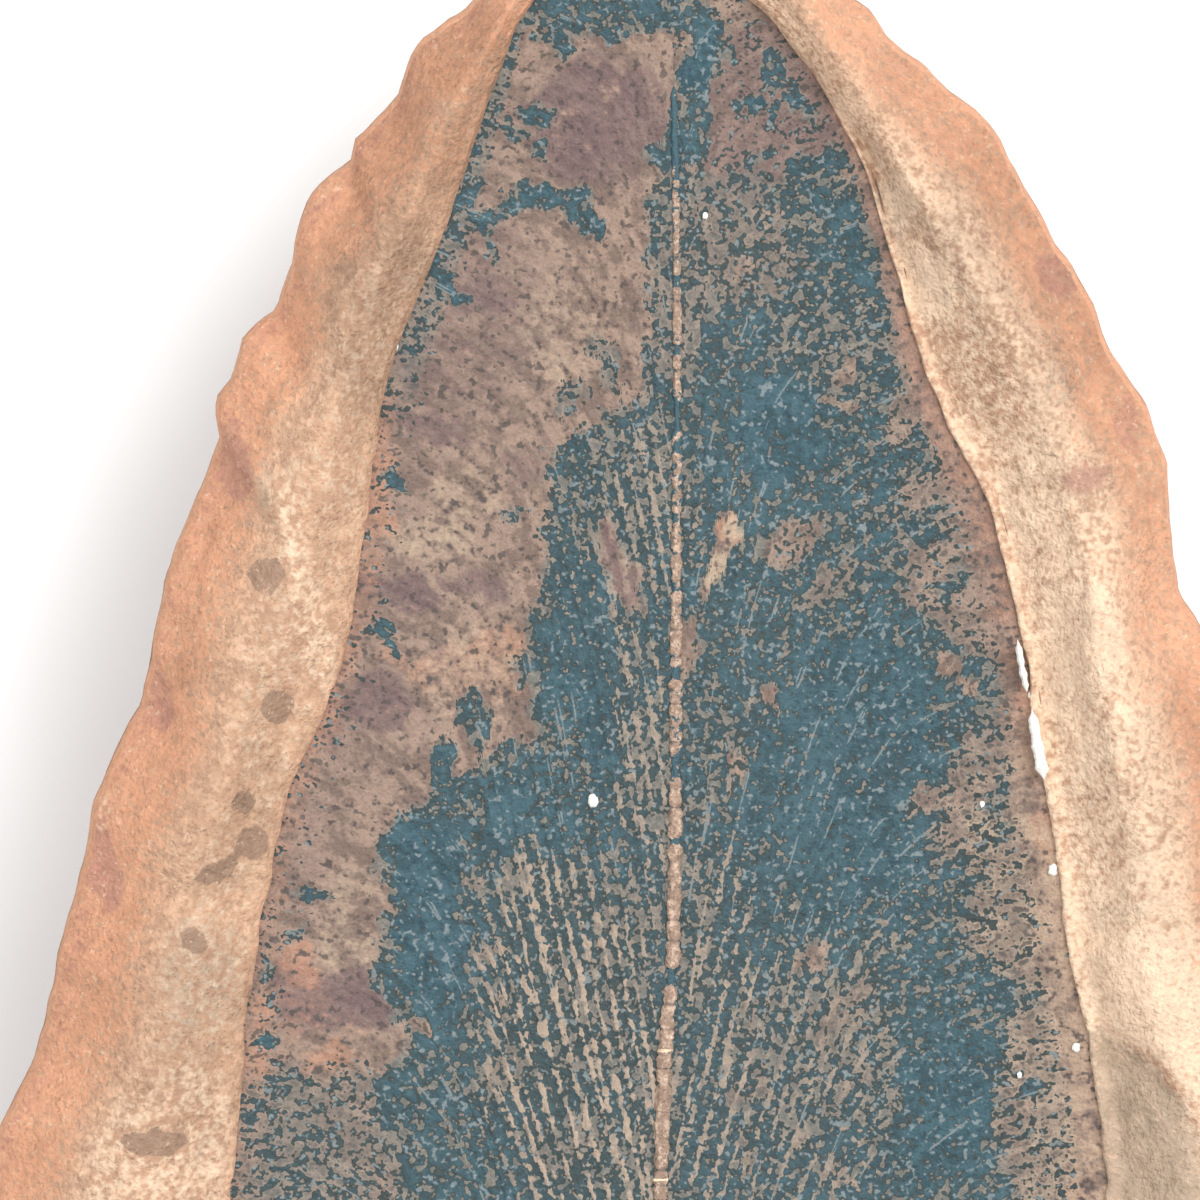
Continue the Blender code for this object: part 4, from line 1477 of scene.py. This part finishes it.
        # painted shade: patches where the rim faces away from the light, and a grain drawn out along the edge
        stretch_x, stretch_y = self.painted_shade_stretch
        painted_shade = paint(plain, PAINTED_SHADE_PATCHES, x, y) + self.painted_shade_grain.at(to_edge * stretch_x, y * stretch_y)
        face = {
            "grey": paint(grey, GREY_PATCHES, near_x, near_y),
            "pale": paint(pale, PALE_PATCHES, near_x, near_y),
            "purple": paint(purple, PURPLE_PATCHES, near_x, near_y),
            "stain": paint(plain, STAIN_PATCHES, near_x, near_y),
            "painted_shade": painted_shade,
        }
        edge, back = part == "edge", part == "back"
        masks = {name: np.where(edge | back, 0.0, mask) for name, mask in face.items()}
        masks["rust_and_lit_edge"] = np.where(edge | back, 0.7, rust_and_lit_edge)
        masks["rind"] = np.select([back, edge], [1.0, 0.05 + 0.5 * ramp(-to_edge, *self.rind_edge)], 0.0)
        return masks


@dataclass
class Blade:
    """One half of the leaf, from the midrib to the margin, as a slab with its veins raised on top."""

    side: Side
    columns: int = 640
    rows: int = 136
    skirt: float = 1.0
    vein_ripple: Noise = Noise(0.07, 1.5, 21.0)
    left_shift: float = 40.0  # the left blade's veins are another stretch of the same pattern
    strip_range: tuple[float, float] = (0.02, 8.0)
    relief_start: float = 0.1
    relief_end: float = 0.93
    lumps: Noises = (Noise(0.07, 2.4, 1.0), Noise(0.04, 0.8, 4.0), Noise(0.02, 0.33, 7.0))
    # what makes the masks' sides ragged, in x and in y
    drift: tuple[Noises, Noises] = (
        (Noise(0.62, 1.1, 2.0), Noise(0.34, 0.4, 5.0)),
        (Noise(0.5, 1.1, 8.0), Noise(0.26, 0.4, 11.0)),
    )
    whole_film: float = 0.86
    film_left_side: tuple[float, float] = (-0.5, 0.45)
    film_right_side: tuple[float, float] = (-0.6, 0.6)
    film_top: tuple[float, float] = (30, 31)
    bare_margin: tuple[float, float] = (0.915, 0.965)
    margin_ripple: Noise = Noise(0.02, 1.6, 30.0)
    left_margin_film: Points = ((0.0, 0.14), (22.0, 0.14), (25.0, 0.5), (34.0, 0.62))

    def build(self, palette: Palette) -> bpy.types.Object:
        """Build the blade.

        Args:
            palette: the materials.

        Returns:
            The object.
        """
        model = Model(f"{self.side.name.lower()}_blade")
        bmesh.ops.create_grid(model.shape, x_segments=self.columns, y_segments=self.rows, size=1)
        column = np.rint((model.points[:, 0] + 1) / 2 * self.columns).astype(int)
        row = np.rint((model.points[:, 1] + 1) / 2 * self.rows).astype(int)
        u = column / self.columns
        t = row / self.rows
        flat = LEAF.lay(self.side, np.clip(u, 0.001, 0.999), t)
        x, y = flat.T
        table = np.empty((self.columns + 1, self.rows + 1, 2))
        table[column, row] = flat
        across, along = np.gradient(table, axis=0), np.gradient(table, axis=1)
        area = np.abs(across[..., 0] * along[..., 1] - across[..., 1] * along[..., 0])
        width = area / np.maximum(np.linalg.norm(along, axis=2), 1e-6)
        strip = np.clip(width[column, row] * self.columns / LEAF.primaries, *self.strip_range)
        vein = u * LEAF.primaries + self.vein_ripple.at(x, y) / np.maximum(strip, 0.3)
        vein = vein + self.left_shift * (self.side is Side.LEFT)
        ridge = 1 - ramp(LEAF.vein_gap(vein, strip), LEAF.vein_crest, LEAF.vein_half_width)
        settle = ramp(t, 0, self.relief_start) * (1 - ramp(t, self.relief_end, 1))
        z = LEAF.height(x, y) + settle * (LEAF.vein_relief * ridge + layers(self.lumps, x, y))
        model.mould(np.stack([x, y, z], axis=-1))
        self.close(model.shape)
        uv = np.stack([vein, y + x * self.side.value], axis=-1)
        blade = model.finish(palette.leaf, {"strip": strip, **self.colour(x, y, t)}, uv)
        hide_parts("fern_leaf")
        return blade

    def close(self, shape: bmesh.types.BMesh) -> None:
        """Give the sheet a wall downwards and a bottom.

        Args:
            shape: the open sheet.
        """
        rim = [edge for edge in shape.edges if edge.is_boundary]
        wall = bmesh.ops.extrude_edge_only(shape, edges=rim)["geom"]
        lower = [item for item in wall if isinstance(item, bmesh.types.BMVert)]
        bmesh.ops.translate(shape, verts=lower, vec=(0, 0, -self.skirt * MM))
        bottom = [edge for edge in shape.edges if edge.is_boundary]
        base = bmesh.ops.edgeloop_fill(shape, edges=bottom)["faces"]
        bmesh.ops.triangulate(shape, faces=base)

    def colour(self, x: Array, y: Array, t: Array) -> dict[str, Array]:
        """Work out the film's cover, the tints of the bare rock, and the painted shade and lit edge along the margins.

        Args:
            x, y: the vertices, in mm.
            t: their place from the midrib to the margin.

        Returns:
            The masks by name.
        """
        near_x, near_y = (at + layers(drift, x, y) for at, drift in zip((x, y), self.drift))
        left, right = (np.interp(near_y, *np.flip(np.array(edge), 1).T) for edge in (FILM_LEFT_EDGE, FILM_RIGHT_EDGE))
        inside = ramp(near_x - left, *self.film_left_side) * ramp(right - near_x, *self.film_right_side)
        inside = inside * (1 - ramp(near_y, *self.film_top))
        if self.side is Side.RIGHT:
            outside = 0.34 - 0.14 * ramp(y, 27, 30)
            # painted shade: the mauve band along the right margin, which faces away from the light
            mauve_and_shade, rust_and_lit_edge = 0.3 * ramp(t, 0.89, 0.97), 0.45 * ramp(t, 0.9, 0.98)
            cream = 0.5 * ramp(t, 0.68, 0.9) * (1 - ramp(y, 8, 18))
            cleared = ramp(t + self.margin_ripple.at(x, y), *self.bare_margin)
        else:
            lower = 0.4 * (1 - ramp(near_y, 1.0, 2.8)) * ramp(t, 0.5, 0.75)
            edge = np.interp(near_y, *zip(*self.left_margin_film)) * ramp(t, 0.88, 0.95)
            outside = 0.02 + np.maximum(lower, edge)
            # painted light: the rust band along the left margin is a lit edge, where the margin faces the light
            mauve_and_shade, rust_and_lit_edge = 0.3 * ramp(t, 0.8, 0.95), 0.7 * ramp(t, 0.92, 0.99)
            cream = cleared = np.zeros_like(x)
        film = paint(outside + (self.whole_film - outside) * inside, FILM_PATCHES, near_x, near_y)
        film = np.maximum(film, paint(film, FILM_ISLANDS, near_x, near_y)) * (1 - cleared)
        return {
            "film": film,
            "vein_show": paint(np.full_like(x, 0.15), VEIN_PATCHES, near_x, near_y),
            "mauve_and_shade": paint(mauve_and_shade, MAUVE_AND_SHADE_PATCHES, near_x, near_y),
            "rust_and_lit_edge": paint(rust_and_lit_edge, RUST_PATCHES, near_x, near_y),
            "cream": paint(cream, CREAM_PATCHES, x, y),
        }


@dataclass
class Midrib:
    """The beaded ridge between the blades."""

    length_rings: int = 1100
    round_faces: int = 16
    half_width: float = 0.22
    relief: float = 0.13
    lift: float = 0.02
    bead: float = 0.46
    start: float = 0.005  # as a share of the leaf's length, from the foot
    top: float = 0.93
    round_end: float = 0.6
    thin_top: tuple[float, float, float] = (0.5, 0.5, 1)  # how much thinner it gets, and from where to where
    wide_foot: tuple[float, float, float] = (0.25, 0.1, 0.55)
    bead_ripple: Noises = (Noise(0.8, 1.7, 3.0), Noise(0.3, 0.6, 9.0))
    joint_gate: Noise = Noise(1.0, 0.45, 15.0)
    glint_gate: Noise = Noise(1.0, 0.7, 19.0)
    glint_top: tuple[float, float] = (6, 10)
    roughness: Noise = Noise(0.55, 0.28, 5.0)
    round_scale: float = 0.5  # how fast the roughness changes round it
    breaks: Rows = (  # where it's broken: the height y, half the length and how deep
        (4.85, 0.4, 1.0), (9.2, 0.2, 0.6), (11.6, 0.5, 0.8), (14.6, 0.3, 0.7), (17.4, 0.25, 0.6), (19.6, 0.3, 0.6),
        (22.9, 0.7, 1.0), (25.0, 0.25, 0.8), (27.2, 0.3, 0.6), (-3.1, 0.2, 0.6), (-9.0, 0.4, 0.9), (-17.0, 0.5, 0.9),
    )
    film: Points = (  # how much of it the film covers, from foot to tip
        (-28.0, 0.5), (-20.0, 0.2), (0.0, 0.0), (10.0, 0.1), (11.5, 0.45), (14.0, 0.25), (18.0, 0.3), (22.5, 0.55),
        (24.5, 0.25), (29.0, 0.3), (31.0, 0.75), (36.0, 0.9),
    )

    def build(self, palette: Palette) -> bpy.types.Object:
        """Build the midrib as a tube that lies half sunk along the blades' joint.

        Args:
            palette: the materials.

        Returns:
            The object.
        """
        model = Model("midrib")
        bmesh.ops.create_grid(model.shape, x_segments=self.round_faces, y_segments=self.length_rings, size=1)
        sheet = model.points
        turn = (sheet[:, 0] + 1) * math.pi
        share = (sheet[:, 1] + 1) / 2
        middle = LEAF.midrib.at(self.start + share * (self.top - self.start))
        length = LEAF.midrib.distance[-1] * self.top
        walked = share * length
        (thinner, *thin_span), (wider, *foot_span) = self.thin_top, self.wide_foot
        taper = (1 - thinner * ramp(share, *thin_span)) * (1 + wider * (1 - ramp(share, *foot_span)))
        ends = np.sqrt(np.clip(np.minimum(share, 1 - share) * length / self.round_end, 0, 1))
        spacing = (walked / self.bead + layers(self.bead_ripple, walked, walked)) % 1
        joint = (1 - ramp(np.abs(spacing - 0.5), 0.04, 0.16)) * ramp(self.joint_gate.at(walked, walked), -0.3, 0.3)
        glint = (1 - ramp(np.abs(spacing - 0.86), 0.03, 0.12)) * ramp(self.glint_gate.at(walked, walked), 0.0, 0.3)
        round_x, round_z = self.round_scale * np.cos(turn), self.round_scale * np.sin(turn)
        rough = 1 + self.roughness.at(round_x, walked, round_z)
        worn = np.zeros_like(share)
        for level, reach, depth in self.breaks:
            worn = np.maximum(worn, depth * (1 - ramp(np.abs(middle[:, 1] - level), 0.5 * reach, reach)))
        size = taper * ends * (1 - 0.3 * joint + 0.12 * glint) * rough * (1 - 0.5 * worn)
        x = middle[:, 0] + self.half_width * size * np.cos(turn)
        y = middle[:, 1]
        z = LEAF.height(middle[:, 0], middle[:, 1]) + self.relief * size * np.sin(turn) + self.lift
        model.mould(np.stack([x, y, z], axis=-1))
        marks = [model.shape.verts.layers.float.new(name) for name in ("film", "joint", "glint")]
        film = np.maximum(np.interp(y, *zip(*self.film)), worn)
        glint = glint * (1 - ramp(y, *self.glint_top)) * (1 - worn)
        for vertex, *values in zip(model.shape.verts, film, joint, glint):
            for mark, value in zip(marks, values):
                vertex[mark] = value
        bmesh.ops.remove_doubles(model.shape, verts=model.shape.verts, dist=0.001 * MM)
        midrib = model.finish(palette.midrib)
        return midrib


@dataclass
class Kaolinite:
    """White mineral: a seam along the right margin and single grains."""

    seam: tuple[Points, ...] = (
        ((12.1, 15.7), (12.2, 15.0), (12.4, 14.0)),
        ((12.55, 13.5), (12.7, 12.5), (12.95, 11.2)),
    )
    seam_widths: tuple[tuple[float, float], ...] = ((0.1, 0.13), (0.12, 0.24))  # half, at each stretch's two ends
    grains: tuple[tuple[float, float, float], ...] = (
        (-1.5, 10.5, 0.17), (2.1, 29.3, 0.09), (11.0, 10.4, 0.08), (13.25, 8.3, 0.15), (14.0, 2.6, 0.12),
        (12.2, 1.7, 0.08), (-7.85, 25.1, 0.11), (-8.6, 21.9, 0.07), (12.55, 13.9, 0.1), (-8.6, 28.1, 0.07),
    )

    def build(self, palette: Palette) -> list[bpy.types.Object]:
        """Build the seam and the grains.

        Args:
            palette: the materials.

        Returns:
            The two objects.
        """
        seam = Model("kaolinite_seam")
        for points, widths in zip(self.seam, self.seam_widths):
            self.add_vein(seam.shape, Path(points), widths)
        grains = Model("kaolinite_grains")
        for x, y, radius in self.grains:
            self.add_grain(grains.shape, x, y, radius)
        pieces = [model.finish(palette.kaolinite) for model in (seam, grains)]
        return pieces

    def add_vein(self, shape: bmesh.types.BMesh, path: Path, widths: tuple[float, float]) -> None:
        """Add one stretch of the seam.

        Args:
            shape: the mesh that gets it.
            path: its middle line.
            widths: its half width at the start and at the end.
        """
        ball = bmesh.ops.create_uvsphere(shape, u_segments=20, v_segments=48, radius=1)["verts"]
        for vertex in ball:
            share = math.acos(max(-1.0, min(1.0, vertex.co.z))) / math.pi
            x, y = path.at(np.array([share]))[0]
            half = widths[0] + (widths[1] - widths[0]) * share
            half *= 1 + 0.45 * noise.noise((x * 3, y * 4, 1.0)) + 0.2 * noise.noise((x * 9, y * 9, 2.0))
            ring = math.sqrt(max(vertex.co.x**2 + vertex.co.y**2, 1e-12))
            plump = min(ring * 2.0, 1.0) / ring
            level = LEAF_MARGIN_Z + 0.3 + 0.2 * vertex.co.y * plump
            vertex.co = Vector((x + half * vertex.co.x * plump, y, level)) * MM

    def add_grain(self, shape: bmesh.types.BMesh, x: float, y: float, radius: float) -> None:
        """Add one grain.

        Args:
            shape: the mesh that gets it.
            x, y: its place, in mm.
            radius: its radius, in mm.
        """
        ball = bmesh.ops.create_icosphere(shape, subdivisions=3, radius=1)["verts"]
        level = float(LEAF.height(np.array([x]), np.array([y]))[0])
        for vertex in ball:
            lump = 1 + 0.35 * noise.noise(vertex.co * 1.6 + Vector((x, y, 0)))
            spot = Vector((vertex.co.x, vertex.co.y * 1.3, vertex.co.z * 0.6)) * radius * lump
            vertex.co = (spot + Vector((x, y, level + 0.03))) * MM


@dataclass
class Studio:
    """The floor, the lights and the camera."""

    view_x: float = -1.28
    view_y: float = 16.96
    face_z: float = 14.0
    view_width: float = 38.4
    distance: float = 260.0
    sensor: float = 36.0
    floor_half: float = 2.0  # metres
    lights: tuple[tuple[str, tuple[float, float, float], float, float], ...] = (
        ("key", (0.23, 0.18, 0.39), 0.3, 2.4),
        ("fill", (-0.30, 0.10, 0.42), 0.5, 1.2),
    )
    light_target: tuple[float, float, float] = (0, 0.01, 0.01)
    sky: float = 0.72

    def build(self, palette: Palette) -> None:
        """Set everything round the plate.

        Args:
            palette: the materials.
        """
        self.add_floor(palette)
        self.add_camera()
        for light in self.lights:
            self.add_light(*light)
        world = bpy.data.worlds.new("studio")
        world.use_nodes = True
        background = world.node_tree.nodes["Background"]
        background.inputs["Color"].default_value = (1, 1, 1, 1)
        background.inputs["Strength"].default_value = self.sky
        bpy.context.scene.world = world
        bpy.context.scene.view_settings.view_transform = "Standard"

    def add_floor(self, palette: Palette) -> None:
        """Add the floor, which isn't part of the plate."""
        floor = Model("floor")
        bmesh.ops.create_grid(floor.shape, x_segments=1, y_segments=1, size=self.floor_half)
        floor.place(palette.floor)

    def add_camera(self) -> None:
        """Look straight down on the face."""
        data = bpy.data.cameras.new("camera")
        data.sensor_width = self.sensor
        data.lens = self.sensor * self.distance / self.view_width
        data.clip_start = 0.01
        camera = bpy.data.objects.new("camera", data)
        camera.location = Vector((self.view_x, self.view_y, self.face_z + self.distance)) * MM
        bpy.context.scene.collection.objects.link(camera)
        bpy.context.scene.camera = camera

    def add_light(self, name: str, place: tuple[float, float, float], size: float, power: float) -> None:
        """Add a soft light that faces the plate.

        Args:
            name: its name.
            place: where it is, in metres.
            size: its side, in metres.
            power: in watts.
        """
        data = bpy.data.lights.new(name, "AREA")
        data.size = size
        data.energy = power
        light = bpy.data.objects.new(name, data)
        light.location = place
        light.rotation_euler = (Vector(self.light_target) - Vector(place)).to_track_quat("-Z", "Y").to_euler()
        bpy.context.scene.collection.objects.link(light)


def main() -> None:
    """Build the plate, piece by piece, and the studio round it."""
    logging.basicConfig(level=logging.INFO, format="%(name)s %(message)s")
    palette = Palette()
    NoduleStone().build(palette)
    for side in Side:
        Blade(side).build(palette)
    Midrib().build(palette)
    Kaolinite().build(palette)
    Studio().build(palette)


if __name__ == "__main__":
    main()
